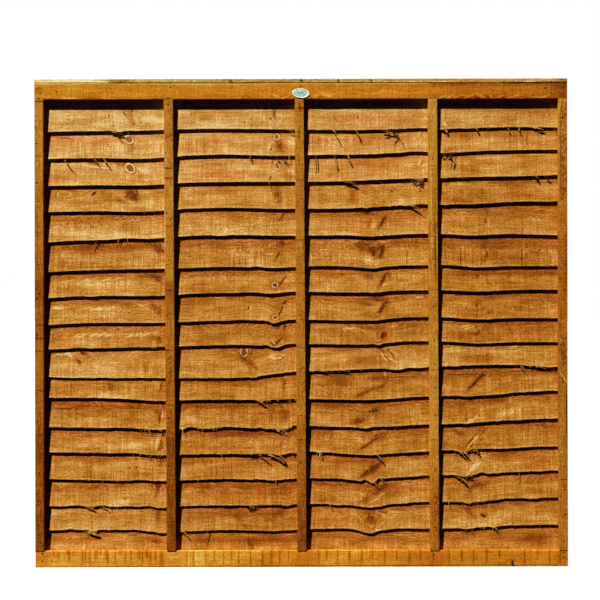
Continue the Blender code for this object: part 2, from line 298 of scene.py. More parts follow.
    # Crisp marks, torn flakes and the pits between them, and a knot's rings and heart
    mark_plane = add_node(tree, "ShaderNodeCombineXYZ", X=mark.outputs["X"], Y=mark.outputs["Y"])
    mark_far = add_node(tree, "ShaderNodeVectorMath", {"operation": "LENGTH"}, i0=mark_plane)
    streak_far = add_node(tree, "ShaderNodeMath", TIMES_PLUS,
                          i0=grit.outputs["Fac"], i1=0.9, i2=mark_far.outputs["Value"])
    streak = add_node(tree, "ShaderNodeMath", TIMES, i1=mark.outputs["Z"], i0=add_node(
        tree, "ShaderNodeMapRange", SMOOTH, Value=streak_far, From_Min=1.75, From_Max=1.05))
    torn = add_node(tree, "ShaderNodeMath", TIMES, i0=texture.outputs["Z"], i1=add_node(
        tree, "ShaderNodeMapRange", Value=flake.outputs["Fac"], From_Min=0.54, From_Max=0.64))
    pitted = add_node(tree, "ShaderNodeMath", TIMES_PLUS, i0=texture.outputs["Z"], i1=0.8, i2=0.3)
    pit = add_node(tree, "ShaderNodeMath", TIMES, i0=pitted, i1=add_node(
        tree, "ShaderNodeMapRange", Value=flake.outputs["Fac"], From_Min=0.42, From_Max=0.33))
    knot_rings = add_node(tree, "ShaderNodeMath", {"operation": "SINE"}, i0=add_node(
        tree, "ShaderNodeMath", TIMES, i0=radius, i1=19.0))
    heart = add_node(tree, "ShaderNodeMath", TIMES, i0=inside, i1=look.outputs["Y"])

    def level(noise, low, high):
        """A noise spread from a low to a high level."""
        return add_node(tree, "ShaderNodeMapRange", Value=noise.outputs["Fac"],
                        From_Min=0.3, From_Max=0.7, To_Min=low, To_Max=high)

    def layered(total, *layers):
        """A total with layers put on, each an amount times a value."""
        for amount, value in layers:
            total = add_node(tree, "ShaderNodeMath", TIMES_PLUS, i0=value, i1=amount, i2=total)
        return total

    # Saw marks fade in and out along a board
    saw_depth = add_node(tree, "ShaderNodeMath", TIMES,
                         i0=texture.outputs["Y"], i1=level(patches, 0.25, 1.0))
    ring_depth = add_node(tree, "ShaderNodeMath", TIMES, i0=texture.outputs["X"], i1=-0.50)
    # A thin dark line round a knot's pale rim
    line_far = add_node(tree, "ShaderNodeMath", {"operation": "SUBTRACT"}, i0=radius, i1=1.30)
    edge_line = add_node(tree, "ShaderNodeMath", TIMES, i0=near, i1=add_node(
        tree, "ShaderNodeMapRange", SMOOTH, From_Min=0.16, From_Max=0.04,
        Value=add_node(tree, "ShaderNodeMath", {"operation": "ABSOLUTE"}, i0=line_far)))
    line_depth = add_node(tree, "ShaderNodeMath", TIMES, i0=look.outputs["X"], i1=-0.16)
    ring_share = add_node(tree, "ShaderNodeMath", TIMES, i0=heart, i1=0.30)
    rim_share = add_node(tree, "ShaderNodeMath", TIMES, i0=look.outputs["X"], i1=0.50)
    tone = layered(
        finish.outputs["X"],
        (1.0, level(fibre, -0.10 * figure, 0.10 * figure)),
        (1.0, level(clouds, -0.10 * figure, 0.10 * figure)),
        (1.0, level(patches, -0.08 * figure, 0.08 * figure)),
        (1.0, level(grit, -0.06 - 0.08 * figure, 0.06 + 0.08 * figure)),
        (saw_depth, level(saw, -0.08 - 0.12 * figure, 0.08 + 0.12 * figure)),
        (ring_depth, late_wood), (0.28, torn), (-0.30, pit),
        (line_depth, edge_line), (-0.06, halo), (-0.45, heart), (ring_share, knot_rings), (rim_share, rim),
        (streak, mark_look.outputs["X"]))
    ramp = add_node(tree, "ShaderNodeValToRGB", Fac=tone)
    set_stops(ramp, TONE_PLACES, tones)

    # The dip took redder in places and left others straw yellow
    redness = layered(finish.outputs["Y"], (1.0, level(patches, -0.20, 0.44)),
                      (streak, mark_look.outputs["Y"]), (1.0, level(flake, 0.10, -0.10)))
    redness = add_node(tree, "ShaderNodeClamp", Value=redness)
    cast = add_node(tree, "ShaderNodeMix", COLOURS, i0=redness, i6=linear("F9FFEC"), i7=linear("F3C096"))
    red = add_node(tree, "ShaderNodeMix", {"data_type": "RGBA", "blend_type": "MULTIPLY"}, i0=1.0,
                   i6=ramp.outputs["Color"], i7=cast.outputs[2])
    knot_stain = add_node(tree, "ShaderNodeMath", TIMES, i0=inside, i1=0.55)
    stain = layered(finish.outputs["Z"], (streak, mark_look.outputs["Z"]), (knot_stain, look.outputs["X"]))
    stain_share = add_node(tree, "ShaderNodeMath", {"operation": "MULTIPLY", "use_clamp": True},
                           i0=stain, i1=level(grit, 0.5, 1.2))
    stained = add_node(tree, "ShaderNodeMix", COLOURS,
                       i0=stain_share, i6=red.outputs[2], i7=linear("4A3A1C"))

    fibre_relief = add_node(tree, "ShaderNodeMath", TIMES, i0=fibre.outputs["Fac"], i1=0.9)
    mark_relief = add_node(tree, "ShaderNodeMath", TIMES, i0=mark_look.outputs["X"], i1=1.2)
    relief = layered(fibre_relief, (1.0, saw.outputs["Fac"]), (1.0, grit.outputs["Fac"]), (0.9, torn),
                     (streak, mark_relief), (-0.15, late_wood))
    bump = add_node(tree, "ShaderNodeBump", Height=relief, Strength=1.0, Distance=0.45 * MM)
    surface = add_node(tree, "ShaderNodeBsdfPrincipled", Base_Color=stained.outputs[2], Roughness=0.85,
                       Specular_IOR_Level=0.03, Normal=bump)
    add_node(tree, "ShaderNodeOutputMaterial", Surface=surface)
    return material


# Each finish is the same species and saw, and differs in how the dip has taken
BOARD_WOOD = make_wood("sawn_softwood_board", BOARD_TONES, 1.0)
UPRIGHT_WOOD = make_wood("sawn_softwood_upright", UPRIGHT_TONES, 0.5)
RAIL_WOOD = make_wood("sawn_softwood_rail", RAIL_TONES, 0.6)
CAP_WOOD = make_wood("sawn_softwood_cap", CAP_TONES, 0.5)


def make_piece(name, points, faces, material, slot, *nodes, paints=None, sharp=38):
    """Makes a finished piece of the panel, which stands for the CAD nodes given."""
    mesh = bpy.data.meshes.new(name)
    mesh.from_pydata([tuple(p) for p in points], [], faces)
    for label, values in (paints or {}).items():
        layer = mesh.attributes.new(label, "FLOAT_VECTOR", "POINT")
        layer.data.foreach_set("vector", np.asarray(values, np.float32).ravel())
    skin = bmesh.new()
    skin.from_mesh(mesh)
    bmesh.ops.recalc_face_normals(skin, faces=skin.faces)
    if skin.calc_volume(signed=True) < 0:
        bmesh.ops.reverse_faces(skin, faces=skin.faces)
    skin.to_mesh(mesh)
    skin.free()
    mesh.shade_smooth()
    mesh.set_sharp_from_angle(angle=math.radians(sharp))
    mesh.materials.append(material)
    piece = bpy.data.objects.new(name, mesh)
    bpy.context.scene.collection.objects.link(piece)
    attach(piece, "root")
    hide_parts(*nodes)


def skin_rings(count, size):
    """Faces over a row of rings, with both ends closed."""
    faces = []
    for i in range(count - 1):
        for j in range(size):
            k = (j + 1) % size
            faces.append((i * size + j, i * size + k, (i + 1) * size + k, (i + 1) * size + j))
    faces.append(tuple(range(size)))
    faces.append(tuple(range((count - 1) * size, count * size))[::-1])
    return faces


def wobble(places, step, seed):
    """Uneven line of about -1 to 1, which changes over a length of one step."""
    values = np.random.default_rng(seed).uniform(-1, 1, int(np.max(places) / step) + 3)
    return np.interp(places / step, np.arange(len(values)), values)


def smooth_line(places, known, values):
    """Smooth line through known values, which follows the drawn edge without corners."""
    slopes = np.gradient(values, known)
    i = np.clip(np.searchsorted(known, places) - 1, 0, len(known) - 2)
    span = known[i + 1] - known[i]
    t = (places - known[i]) / span
    return ((2 * t ** 3 - 3 * t ** 2 + 1) * values[i] + (t ** 3 - 2 * t ** 2 + t) * span * slopes[i]
            + (3 * t ** 2 - 2 * t ** 3) * values[i + 1] + (t ** 3 - t ** 2) * span * slopes[i + 1])


# Boards: tone, redness, how much the upper band darkens, rings, saw marks, torn flakes, ragged edge mm,
# how far the face leans back beyond the CAD's at the lap above, in mm
BOARD_LOOKS = {
    1: (0.91, -0.10, 0.00, 0.10, 0.55, 0.00, 0.4, -1.8),
    2: (0.89, 0.00, 0.03, 0.10, 0.70, 0.02, 0.5, 0.9),
    3: (0.88, 0.00, 0.03, 0.10, 0.60, 0.02, 0.5, 0.9),
    4: (0.80, -0.05, 0.03, 0.15, 0.60, 0.05, 0.5, 0.9),
    5: (0.82, 0.00, 0.07, 0.20, 0.60, 0.15, 0.6, 0.9),
    6: (0.765, 0.00, 0.08, 0.20, 0.70, 0.20, 0.5, 0.9),
    7: (0.76, 0.00, 0.06, 0.25, 0.60, 0.10, 0.6, 0.9),
    8: (0.77, 0.00, 0.06, 0.30, 0.55, 0.08, 0.6, 0.9),
    9: (0.73, 0.00, 0.05, 0.30, 0.55, 0.10, 1.0, 0.7),
    10: (0.79, 0.00, 0.06, 0.14, 0.60, 0.10, 1.6, 0.7),
    11: (0.73, 0.00, 0.08, 0.20, 0.65, 0.12, 1.2, 1.8),
    12: (0.75, 0.00, 0.09, 0.20, 0.70, 0.15, 1.8, 1.8),
    13: (0.75, 0.00, 0.08, 0.20, 0.65, 0.15, 1.6, 1.8),
    14: (0.76, 0.00, 0.06, 0.20, 0.65, 0.15, 1.7, 1.6),
    15: (0.76, 0.00, 0.06, 0.20, 0.65, 0.15, 1.7, 1.8),
    16: (0.79, 0.00, 0.06, 0.20, 0.65, 0.15, 1.7, 0.8),
    17: (0.76, 0.00, 0.04, 0.20, 0.65, 0.10, 0.5, 1.4),
}

# Broad changes of tone over all the boards: column, row, half width, half height in pixels, tone, redness
WASHES = (
    (100, 120, 80, 60, 0.05, -0.08), (540, 130, 80, 70, -0.05, 0.05), (370, 130, 60, 60, -0.04, 0.1),
    (270, 500, 110, 90, -0.05, 0.15), (520, 270, 60, 90, -0.04, 0.1), (500, 180, 60, 60, -0.05, 0),
    (500, 500, 70, 60, -0.05, 0), (105, 335, 60, 40, 0.05, -0.05), (500, 270, 60, 80, -0.05, 0),
    (300, 318, 120, 26, -0.03, 0), (105, 362, 60, 11, 0.08, 0), (500, 441, 60, 9, -0.1, 0),
    (105, 468, 60, 8, -0.06, 0), (240, 226, 60, 10, 0.05, -0.05), (450, 300, 150, 260, -0.022, -0.07),
    (500, 130, 70, 24, -0.035, -0.05), (240, 360, 60, 9, -0.04, 0), (240, 441, 60, 9, 0.045, 0),
    (105, 193, 60, 10, -0.03, -0.05), (100, 541, 60, 8, 0.04, 0.05),
)

# Knots by board: column, row, radius across and radius up in pixels, turn in degrees, kind
KNOTS = {
    1: ((127.5, 110.6, 4.6, 2.6, 20, "pale"), (270.8, 118.6, 2.4, 3, 10, "ringed")),
    2: ((129.2, 139.2, 5.2, 3.9, 40, "ringed"), (277, 136.7, 2.9, 3.4, 20, "ringed"),
        (271.4, 149.2, 1.8, 2.6, 25, "ringed")),
    3: ((130.2, 167.8, 5.9, 4.4, 42, "ringed"), (277.2, 165.9, 2.8, 4.4, -18, "ringed"),
        (270.6, 178, 1.4, 1.6, 0, "smudge")),
    4: ((64.6, 193.7, 7.5, 3.2, 0, "faint"), (277.6, 194.6, 4.6, 4.8, 20, "smudge")),
    6: ((281, 243, 4, 3.4, 0, "red"),),
    7: ((275, 285, 3.4, 3, 0, "ringed"), (477, 276, 3.6, 2.8, 0, "red")),
    8: ((275, 317.4, 3, 2.6, 0, "ringed"), (489, 313, 3, 2.4, 0, "red"), (477, 305, 3.6, 3, 0, "smudge")),
    9: ((383.9, 335.3, 4.6, 4.2, 30, "red"),),
    10: ((84, 353, 5, 3, 0, "smudge"), (244, 352.6, 4, 4, 0, "ringed")),
    12: ((360, 422, 4, 3, 0, "red"),),
    13: ((284.6, 444, 2.2, 3.6, 0, "pale"),),
    15: ((158, 485, 5, 4, 0, "red"),),
    16: ((279, 512.8, 5, 3.6, 0, "smudge"), (371, 520.4, 8, 6.6, 20, "red")),
}
# How strong a knot's pale rim and its dark heart are
KNOT_KINDS = {"ringed": (1.0, 0.22), "red": (0.12, 0.45), "smudge": (0.0, 0.36), "pale": (0.55, 0.06),
              "faint": (0.3, 0.05)}

# What a crisp mark with an uneven edge does to the wood: tone, redness, stain
CRISP_KINDS = {
    "line": (-0.22, 0.20, 0.05), "dark": (-0.70, 0.20, 0.25), "brown": (-0.34, 0.35, 0.12),
    "red": (-0.20, 0.70, 0.0), "pale": (0.15, -0.20, 0.0), "chip": (0.28, -0.30, 0.0),
    "grey": (-0.20, -0.20, 0.50), "cream": (0.30, 0.10, 0.0),
}
# What a soft mark does to it: tone, redness, stain, torn flakes
SOFT_KINDS = {
    "glow": (-0.03, 0.45, 0.0, 0), "shade": (-0.13, 0.25, 0.05, 0), "smudge": (-0.18, 0.10, 0.30, 0),
    "light": (0.10, -0.20, 0.0, 0), "flakes": (0.02, 0.10, 0.0, 0.95), "bruise": (-0.21, 0.40, 0.12, 0.55),
    "drip": (-0.24, 0.35, 0.10, 0), "tawny": (-0.08, 0.12, 0.03, 0.5),
}

# Marks by piece, each kind followed by its strokes: column and row of both ends, half width in pixels.
# Where crisp strokes cross, the first shows.
MARKS = {
    1: (
        ("glow", (131, 112, 133, 122, 4), (58, 110, 75, 111, 1.6), (88, 110, 112, 111, 1.6),
         (200, 112, 240, 112, 2), (330, 118, 420, 119, 4)),
        ("light", (443, 112, 444.4, 128, 1.7), (110, 117, 122, 119, 2), (269, 122.4, 273, 121.6, 1.4),
         (150, 118, 162, 120, 4)),
        ("dark", (131.6, 109.6, 131.9, 111, 0.7), (68.3, 119, 68.9, 119.6, 0.6),
         (141, 122, 141.6, 122.5, 0.7)),
        ("shade", (131, 116, 133, 124, 2.6), (446, 110, 556, 112, 4)),
        ("smudge", (123.4, 111, 127.4, 117, 1), (273.4, 110, 275.2, 118.6, 1.4)),
        ("grey", (124, 111, 127, 115.4, 0.5), (275.4, 109, 274.6, 116, 0.7)),
        ("pale", (446.6, 123, 447.6, 127, 0.7)),
        ("chip", (445, 124, 446, 126, 1.2))),
    2: (
        # Most dark strokes here are painted shadows of the splinters and torn strips hanging from the lap
        # above
        ("dark", (335.4, 134.6, 343.2, 147.8, 0.4), (338, 139, 341, 144, 0.6),
         (357, 134.8, 360, 138, 0.5), (359.8, 137.6, 362.4, 142.4, 0.6), (386, 134.6, 396.6, 138, 0.6),
         (396, 135.6, 399.4, 139.4, 0.9), (397.6, 140.4, 396, 143.8, 0.9),
         (399.8, 138.4, 405.6, 149, 0.35), (385.6, 138.6, 391, 138.8, 0.6),
         (477.5, 131.5, 480.8, 135.8, 0.5), (539, 131, 543.6, 133.8, 0.5),
         (541.4, 130.8, 545.6, 134.6, 0.5), (519, 131.4, 520, 133, 0.4),
         (442.6, 132.6, 448.6, 134.4, 0.6), (446, 135, 446.6, 138, 0.4), (446.4, 148, 446, 153, 0.4),
         (108, 144, 108.6, 144.4, 0.7)),
        ("glow", (315, 137, 320, 140, 5), (49, 136, 60, 137, 1.2), (70, 141, 110, 142, 5),
         (200, 140, 230, 141, 4), (350, 138, 400, 138, 3)),
        ("chip", (80.6, 140, 80.6, 157, 0.5), (118.4, 142, 118.4, 157, 0.45),
         (194.3, 138, 194.3, 147, 0.35), (447.8, 147, 447.4, 152, 0.5)),
        # The first brown stroke is a painted splinter shadow
        ("brown", (509.4, 132, 512.4, 136, 0.4), (118, 137, 123, 143, 0.6), (272.6, 144, 269.4, 152, 0.6),
         (60, 137.5, 72, 138.5, 0.8)),
        ("bruise", (281, 146, 284, 148, 5), (441.6, 132, 448, 134.6, 1.6), (279, 143, 280, 149, 3.6)),
        ("light", (274, 139, 268.6, 150, 1), (268, 146, 270, 145, 1.2), (140, 142, 160, 140, 2)),
        ("pale", (80.3, 141, 80.3, 156, 0.5), (118.2, 143, 118.2, 157, 0.5), (421, 131, 418, 137, 0.9)),
        ("red", (349, 134.4, 356.6, 134.8, 0.4)),
        ("smudge", (132, 147, 131, 150, 3.5)),
        ("line", (423, 132, 421, 138, 0.7)),
        ("shade", (450, 136, 540, 136, 2))),
    3: (
        # These dark strokes are painted shadows of the splinters and torn strip hanging from the lap above
        ("dark", (316.8, 163, 316.9, 171, 0.35), (316.7, 171.6, 316.2, 174, 0.7),
         (335.6, 165, 340, 173.4, 0.4), (347.8, 159.8, 353.2, 168.4, 0.45), (442.2, 154, 442.8, 158, 0.5),
         (449.4, 158, 452, 162, 0.5), (455.4, 158.6, 456.6, 164, 0.4), (452.4, 163, 451.6, 169, 0.4),
         (455.8, 165.6, 454.8, 170, 0.5)),
        ("shade", (282, 164, 288, 178, 4), (118, 165, 126, 163, 2.6), (135, 171, 139, 174, 4),
         (446, 166, 480, 172, 5)),
        # The first line stroke is a painted splinter shadow
        ("line", (326, 160, 322, 166, 0.3), (423, 160, 421, 167, 0.7), (467, 157.6, 474, 157.4, 0.4)),
        ("brown", (272.4, 161, 275, 168.4, 0.5), (88, 162, 100, 163.5, 1.2), (284, 163, 290, 168, 0.6)),
        ("chip", (453.8, 164, 453.4, 169, 0.6), (138, 168, 143, 171, 1), (84, 165, 108, 168, 1)),
        ("light", (141, 167, 152, 174, 4), (56, 164, 90, 163, 1), (268, 174, 272, 173, 1.4)),
        ("pale", (421, 159, 419, 166, 0.9), (466, 158.6, 500, 157.6, 0.7), (530, 155, 541, 155, 0.8)),
        ("glow", (200, 172, 250, 172, 4), (330, 166, 400, 166, 4), (52, 176, 70, 178, 3)),
        ("grey", (271.4, 176, 269.4, 180, 0.9))),
    4: (
        # Dark strokes along the lap above are painted shadows of its splinters; the dots and the strokes
        # lower on the board are the wood's own
        ("dark", (92.8, 194.8, 95.4, 191.8, 1.1), (349, 185, 358.4, 188, 0.7),
         (412.4, 182, 418, 186.6, 0.6), (419.4, 185.4, 424, 184.4, 1), (537, 179, 541, 184, 0.7),
         (548, 179.6, 552.2, 184.4, 0.6), (452, 182.4, 463, 182.2, 0.4), (136.6, 188.6, 138, 194, 0.7),
         (391.6, 191, 392.3, 191.5, 0.7), (420, 191, 420.6, 191.4, 0.7)),
        ("bruise", (129, 192, 134, 200, 2.4), (131, 190, 136, 198, 3), (127, 193, 138, 194.6, 3.6)),
        ("shade", (351, 191, 353, 200, 3.6), (483, 190, 483, 194, 1.4), (446, 199, 470, 202, 4)),
        ("smudge", (126, 197, 138, 199, 3), (118, 200, 128, 203, 1.6), (277, 188, 279, 201, 3.4)),
        ("glow", (353, 193, 356, 198, 5), (196, 190, 250, 190, 3), (500, 195, 550, 196, 4)),
        ("pale", (450, 183.6, 465, 183.2, 0.8), (450, 184.5, 475, 184.2, 0.8)),
        ("flakes", (127, 200, 137, 203, 1.6)),
        ("chip", (418, 187.6, 421.4, 187.8, 0.7)),
        ("grey", (133, 190, 137, 200, 0.9)),
        ("brown", (129, 192, 126, 198, 0.6)),
        ("light", (100, 203, 160, 203, 3))),
    5: (
        ("flakes", (55, 224, 110, 223, 3), (110, 221, 160, 220, 3), (50, 226, 100, 226, 1.8),
         (225, 226, 270, 226, 2), (445, 218.5, 465, 218.5, 1.4), (520, 218.5, 555, 218.5, 1.4)),
        ("bruise", (385.6, 217, 379, 228, 2.6), (370.6, 220, 369, 227.6, 1.6),
         (358, 213.6, 378, 215, 2.8)),
        ("brown", (384.8, 218, 379.6, 226.6, 1.3), (364, 211, 368, 214, 1.2), (486, 219, 486, 223, 1.2)),
        ("tawny", (50, 219, 160, 218, 2.4), (182, 218, 250, 219, 2.4)),
        ("light", (60, 233, 150, 234, 4), (190, 229, 240, 230, 3)),
        # A painted shadow of a splinter hanging from the lap above
        ("dark", (413.6, 209.6, 423.2, 217, 0.6)),
        ("red", (285, 213, 280, 220, 1.3)),
        ("smudge", (487, 211, 487, 215, 1.4)),
        ("glow", (330, 222, 420, 222, 3))),
    6: (
        ("line", (62.7, 259, 62.7, 268, 0.45), (80.3, 258, 80.3, 268, 0.45), (97.3, 259, 97.3, 268, 0.45),
         (117, 258, 117, 267, 0.45), (233.5, 257, 233.5, 267, 0.45), (239.4, 258, 239.4, 266, 0.4),
         (245.3, 257, 245.3, 266, 0.45), (255, 258, 255, 266, 0.45), (331, 251, 331, 264, 0.45),
         (485, 258, 485, 266, 0.45), (497, 251, 497, 265, 0.45), (538, 251, 538, 264, 0.45)),
        ("brown", (160, 243, 163, 252, 0.6), (383, 250, 380.4, 256.4, 1.2), (374, 252, 373, 256, 1),
         (407, 249, 407, 264, 0.5), (460.5, 252, 460.5, 265, 0.5), (522, 250, 522, 264, 0.5),
         (280, 252, 276, 259, 1.2), (370, 247, 377, 248, 0.7), (487, 253, 487, 257, 1.2)),
        ("bruise", (155, 246, 162, 252, 2.6), (372, 251, 375, 257, 2.6), (383.4, 247, 381, 257, 2.2),
         (360, 245.4, 365, 245.8, 3.4), (371, 249, 374, 252, 3), (380, 247, 383, 249.5, 2.8)),
        ("flakes", (100, 254, 116, 256, 2.4), (225, 252.5, 260, 252.5, 2.4), (447, 249, 462, 249, 1.6),
         (523, 251, 557, 251, 2), (315, 250, 345, 250, 2)),
        # Painted shadows of the splinters hanging from the lap above
        ("dark", (98.4, 243.6, 94.4, 252.4, 0.5), (93.6, 242, 90.6, 245.4, 0.4),
         (120.4, 242.4, 117, 247.4, 0.5), (128, 241.6, 126.4, 247.6, 0.35)),
        ("smudge", (155, 246, 158, 251, 1.8), (378, 257, 382, 255, 1.8), (482, 246, 485, 248, 1.6)),
        ("chip", (152, 243, 158, 250, 0.5), (366, 260.5, 371, 260, 1)),
        ("pale", (60, 251.6, 76, 250.8, 0.8), (380, 241.8, 386, 242, 0.9)),
        ("shade", (62, 247, 140, 247, 3), (354, 244, 360, 245, 2)),
        ("light", (366, 262, 385, 261, 2), (370, 258, 378, 262, 3))),
    7: (
        ("chip", (82, 281, 90, 278, 0.7), (88, 281.4, 96, 278, 0.7), (102, 280.6, 111, 277.6, 0.7),
         (112, 280, 122, 277, 0.6), (66, 280.6, 76, 279.4, 0.6), (382.6, 286, 385.4, 284.4, 1)),
        ("brown", (156, 277.4, 161, 276, 0.5), (155, 281.4, 161, 280, 0.5), (286, 276, 280, 284, 1.3),
         (385.6, 275, 380.6, 284.6, 1.6), (387, 273.4, 384, 280, 0.7)),
        ("bruise", (154, 276, 162, 282, 3), (363, 275.6, 371, 277, 3), (386.4, 274, 381, 284, 2.9)),
        ("pale", (81, 280, 93, 279.6, 0.8), (103, 279.5, 111, 279.2, 0.8)),
        ("smudge", (389, 274, 390, 278, 1.4), (488, 281, 489, 285, 1.3)),
        ("flakes", (190, 276, 250, 276, 2)),
        ("light", (60, 284, 140, 285, 4)),
        ("glow", (315, 274, 350, 275, 2)),
        ("shade", (446, 275, 560, 274, 2))),
    8: (
        ("chip", (50, 308.6, 58, 306, 0.7), (56, 309, 65, 307, 0.7), (82, 308.6, 92, 306, 0.7),
         (90, 310, 100, 307, 0.8), (99, 310, 107, 306.4, 0.8), (107, 309.4, 115, 306, 0.7),
         (131, 306, 141, 303.4, 0.7), (140, 306, 150, 302.6, 0.7), (380.6, 316, 382.4, 317.4, 1),
         (512.4, 309, 512.9, 309.4, 0.8), (414, 297.5, 424, 297.3, 0.6)),
        ("brown", (154, 309, 161, 306, 0.6), (286, 301, 283, 304, 1.2), (283, 307, 279, 315, 1.1),
         (384.6, 303.6, 379, 313, 1.6), (376, 299.6, 380, 301, 0.8), (386, 301.4, 390.4, 303.4, 0.7)),
        ("pale", (50, 307.5, 67, 307.5, 0.9), (84, 307, 114, 310, 0.8), (132, 302, 143, 306, 0.7),
         (141, 305, 155, 303, 0.7), (388, 297, 402, 295, 0.7)),
        ("bruise", (151, 304, 160, 312, 3), (385.4, 303.4, 379, 313.4, 2.9), (370, 298, 386, 298.8, 1.9)),
        ("shade", (360, 304, 370, 304.4, 1.6), (363, 303, 372, 305, 1.4)),
        ("flakes", (116, 308, 132, 312, 3)),
        ("dark", (248.3, 307.6, 248.8, 308.2, 0.7)),
        ("grey", (490, 297, 494, 299, 0.8)),
        ("glow", (330, 303, 360, 300, 2.4)),
        ("light", (55, 315, 130, 316, 3)),
        ("line", (470, 303, 466, 309, 0.7))),
    9: (
        ("bruise", (152, 337.6, 160, 340.6, 2.8), (472, 334.4, 480, 333, 1.6), (384, 333, 383, 338, 2.4),
         (367, 328.4, 381, 328.8, 1.8)),
        ("glow", (388, 328, 391, 332, 1.8), (446, 333, 556, 333, 3), (75, 338, 150, 338, 2)),
        ("shade", (486, 326, 490, 334, 3)),
        ("red", (385.6, 332, 386.4, 337, 0.8)),
        ("chip", (74, 337, 80, 333.4, 0.7), (81, 336.6, 88, 332.6, 0.7), (90, 337, 96, 333, 0.7),
         (97, 336.4, 104, 332.8, 0.7), (106, 336.6, 112, 333, 0.6), (128, 337, 134, 333.4, 0.7),
         (135, 336, 142, 332.6, 0.7), (143, 335.6, 151, 332.4, 0.6), (279, 343.4, 283, 340.4, 0.6),
         (462, 327, 470, 324.6, 0.7), (465, 330, 475, 326.4, 0.6), (343, 328.5, 356, 328.2, 1),
         (377, 341, 381, 339.6, 0.8)),
        ("pale", (73, 334, 90, 333, 0.8), (94, 334.5, 112, 333.5, 0.8), (116, 334, 136, 333, 0.8),
         (140, 333, 160, 332, 0.8), (314, 327, 332, 327, 0.8), (362, 330, 369, 334, 0.7),
         (462, 326, 470, 326, 0.8), (390, 327, 400, 326, 0.8)),
        ("brown", (158.6, 336, 160.4, 341, 0.6), (274, 346, 279, 340, 0.9), (277, 344, 284, 335.6, 0.7),
         (270, 342, 274, 346, 0.8), (477, 328, 480, 333, 0.8), (474, 335.4, 479, 335.8, 0.5),
         (380.6, 337.6, 384, 333, 1.2), (285, 326, 284, 330, 1.3), (362, 327, 366, 333, 0.6),
         (360, 331, 364, 334, 0.6), (376, 342.6, 382, 342, 0.8)),
        ("chip", (271.6, 340, 276, 345, 0.6))),
    10: (
        ("brown", (80, 351.6, 84, 353, 0.6), (243, 357, 247, 360.6, 0.6), (252.6, 349.6, 250, 356, 0.6),
         (276, 352.4, 282, 352, 0.5), (283, 357, 279, 361, 0.6), (387, 348.6, 394, 357, 0.9),
         (384.6, 356, 390, 362, 0.7), (77, 360, 80, 362, 1)),
        ("chip", (52, 356, 60, 353.4, 0.7), (61, 356, 68, 352.6, 0.7), (268, 356, 276, 354, 0.6),
         (278, 354, 285, 355.6, 0.6), (272, 359.4, 281, 357.8, 0.6), (380, 352, 387, 361, 0.7),
         (388, 358, 396, 362, 0.6), (509, 348, 518, 346.6, 0.8), (512, 352, 520, 350.6, 0.6),
         (445, 349, 460, 347.4, 0.8), (68, 352, 71, 356, 1.3), (266, 357, 274, 357.5, 0.8),
         (279, 355, 286, 354.5, 0.8), (388, 350, 396, 353, 0.7)),
        ("light", (362, 349, 372, 352, 1.4), (400, 360, 425, 362, 3), (314, 359, 345, 361, 4),
         (313, 351, 330, 351, 2), (410, 354, 426, 356, 4), (196, 360, 236, 361, 3)),
        ("bruise", (82, 352, 87, 355.6, 1.7), (76.6, 358.6, 79.4, 363.6, 1.7), (242, 358, 250, 366, 2.6),
         (250, 361, 257, 369, 1.8), (377, 346.6, 384, 352, 1.6)),
        ("shade", (143, 362, 145, 371, 1.6), (352, 359, 380, 362, 4), (464, 358, 494, 358, 4),
         (148, 362, 146, 371, 2.2)),
        ("pale", (100, 355.4, 118, 355, 0.6), (446, 352.4, 462, 351.6, 0.7), (445, 350, 462, 350, 1.2)),
        ("glow", (330, 362, 370, 363, 3))),
    11: (
        ("light", (96, 396.6, 142, 395.4, 2.4), (104, 396.4, 134, 395.2, 1.8), (246, 390, 274, 391, 3.4),
         (464, 390.6, 472, 383, 1.2), (98, 395, 130, 395, 3.2)),
        ("bruise", (284.6, 381, 283, 389, 1.4), (371, 390, 358, 395.6, 2), (386, 383, 377, 390, 1.8),
         (366, 378.6, 392, 379.6, 2), (482.6, 375.4, 466, 391, 2.4)),
        ("shade", (163, 384, 163, 390, 2.2), (386, 383, 356, 396, 1.8), (315, 384, 350, 384, 2.4)),
        ("glow", (50, 386, 95, 386, 3), (190, 384, 260, 385, 2.6)),
        ("smudge", (108, 384, 114, 386, 1.6)),
        ("chip", (384.4, 371, 385.6, 378, 0.9)),
        ("brown", (161.6, 382, 159.4, 392, 0.8), (369, 377.5, 429, 377.3, 0.5), (445, 375, 483, 375, 0.5),
         (509, 372, 546, 371.6, 0.5), (482, 376, 469, 389, 1.3))),
    12: (
        ("line", (86.4, 414, 86.4, 427, 0.35), (124.6, 418, 124.6, 427, 0.35),
         (146.6, 419, 146.6, 425, 0.3), (464, 417.6, 472, 410, 0.35), (467, 422, 480, 410, 0.35),
         (474, 422, 481, 414, 0.35), (545, 415, 545, 424, 0.35)),
        ("shade", (186, 414, 250, 413.6, 1.1), (250, 413.6, 290, 412, 1.1), (182, 406, 280, 405, 2.4),
         (313, 405, 352, 406, 2.6), (445, 403, 500, 401, 2), (360, 418, 345, 424, 3)),
        ("chip", (162.8, 410, 161.4, 420, 0.6), (370, 422, 375, 413.6, 0.6),
         (466.4, 424, 471, 418.6, 0.6), (471, 424, 477, 417, 0.6)),
        ("brown", (160.6, 412, 158.8, 424, 0.6), (369, 412, 378, 410, 0.6), (50, 408.5, 73, 408.3, 0.5),
         (160, 417, 162, 419, 0.9), (465, 421, 468, 417, 0.5)),
        ("bruise", (157, 411, 160, 420, 2.4), (368, 412.6, 380, 409, 1.9), (354, 422.6, 365, 419.4, 2.4)),
        ("light", (500, 415, 515, 412, 2), (466, 423.4, 476, 416.4, 1.5), (60, 420, 120, 421, 3)),
        ("smudge", (285, 412, 285, 420, 2.6), (375, 409, 375, 416, 2.4)),
        ("glow", (50, 407, 160, 406, 2.2)),
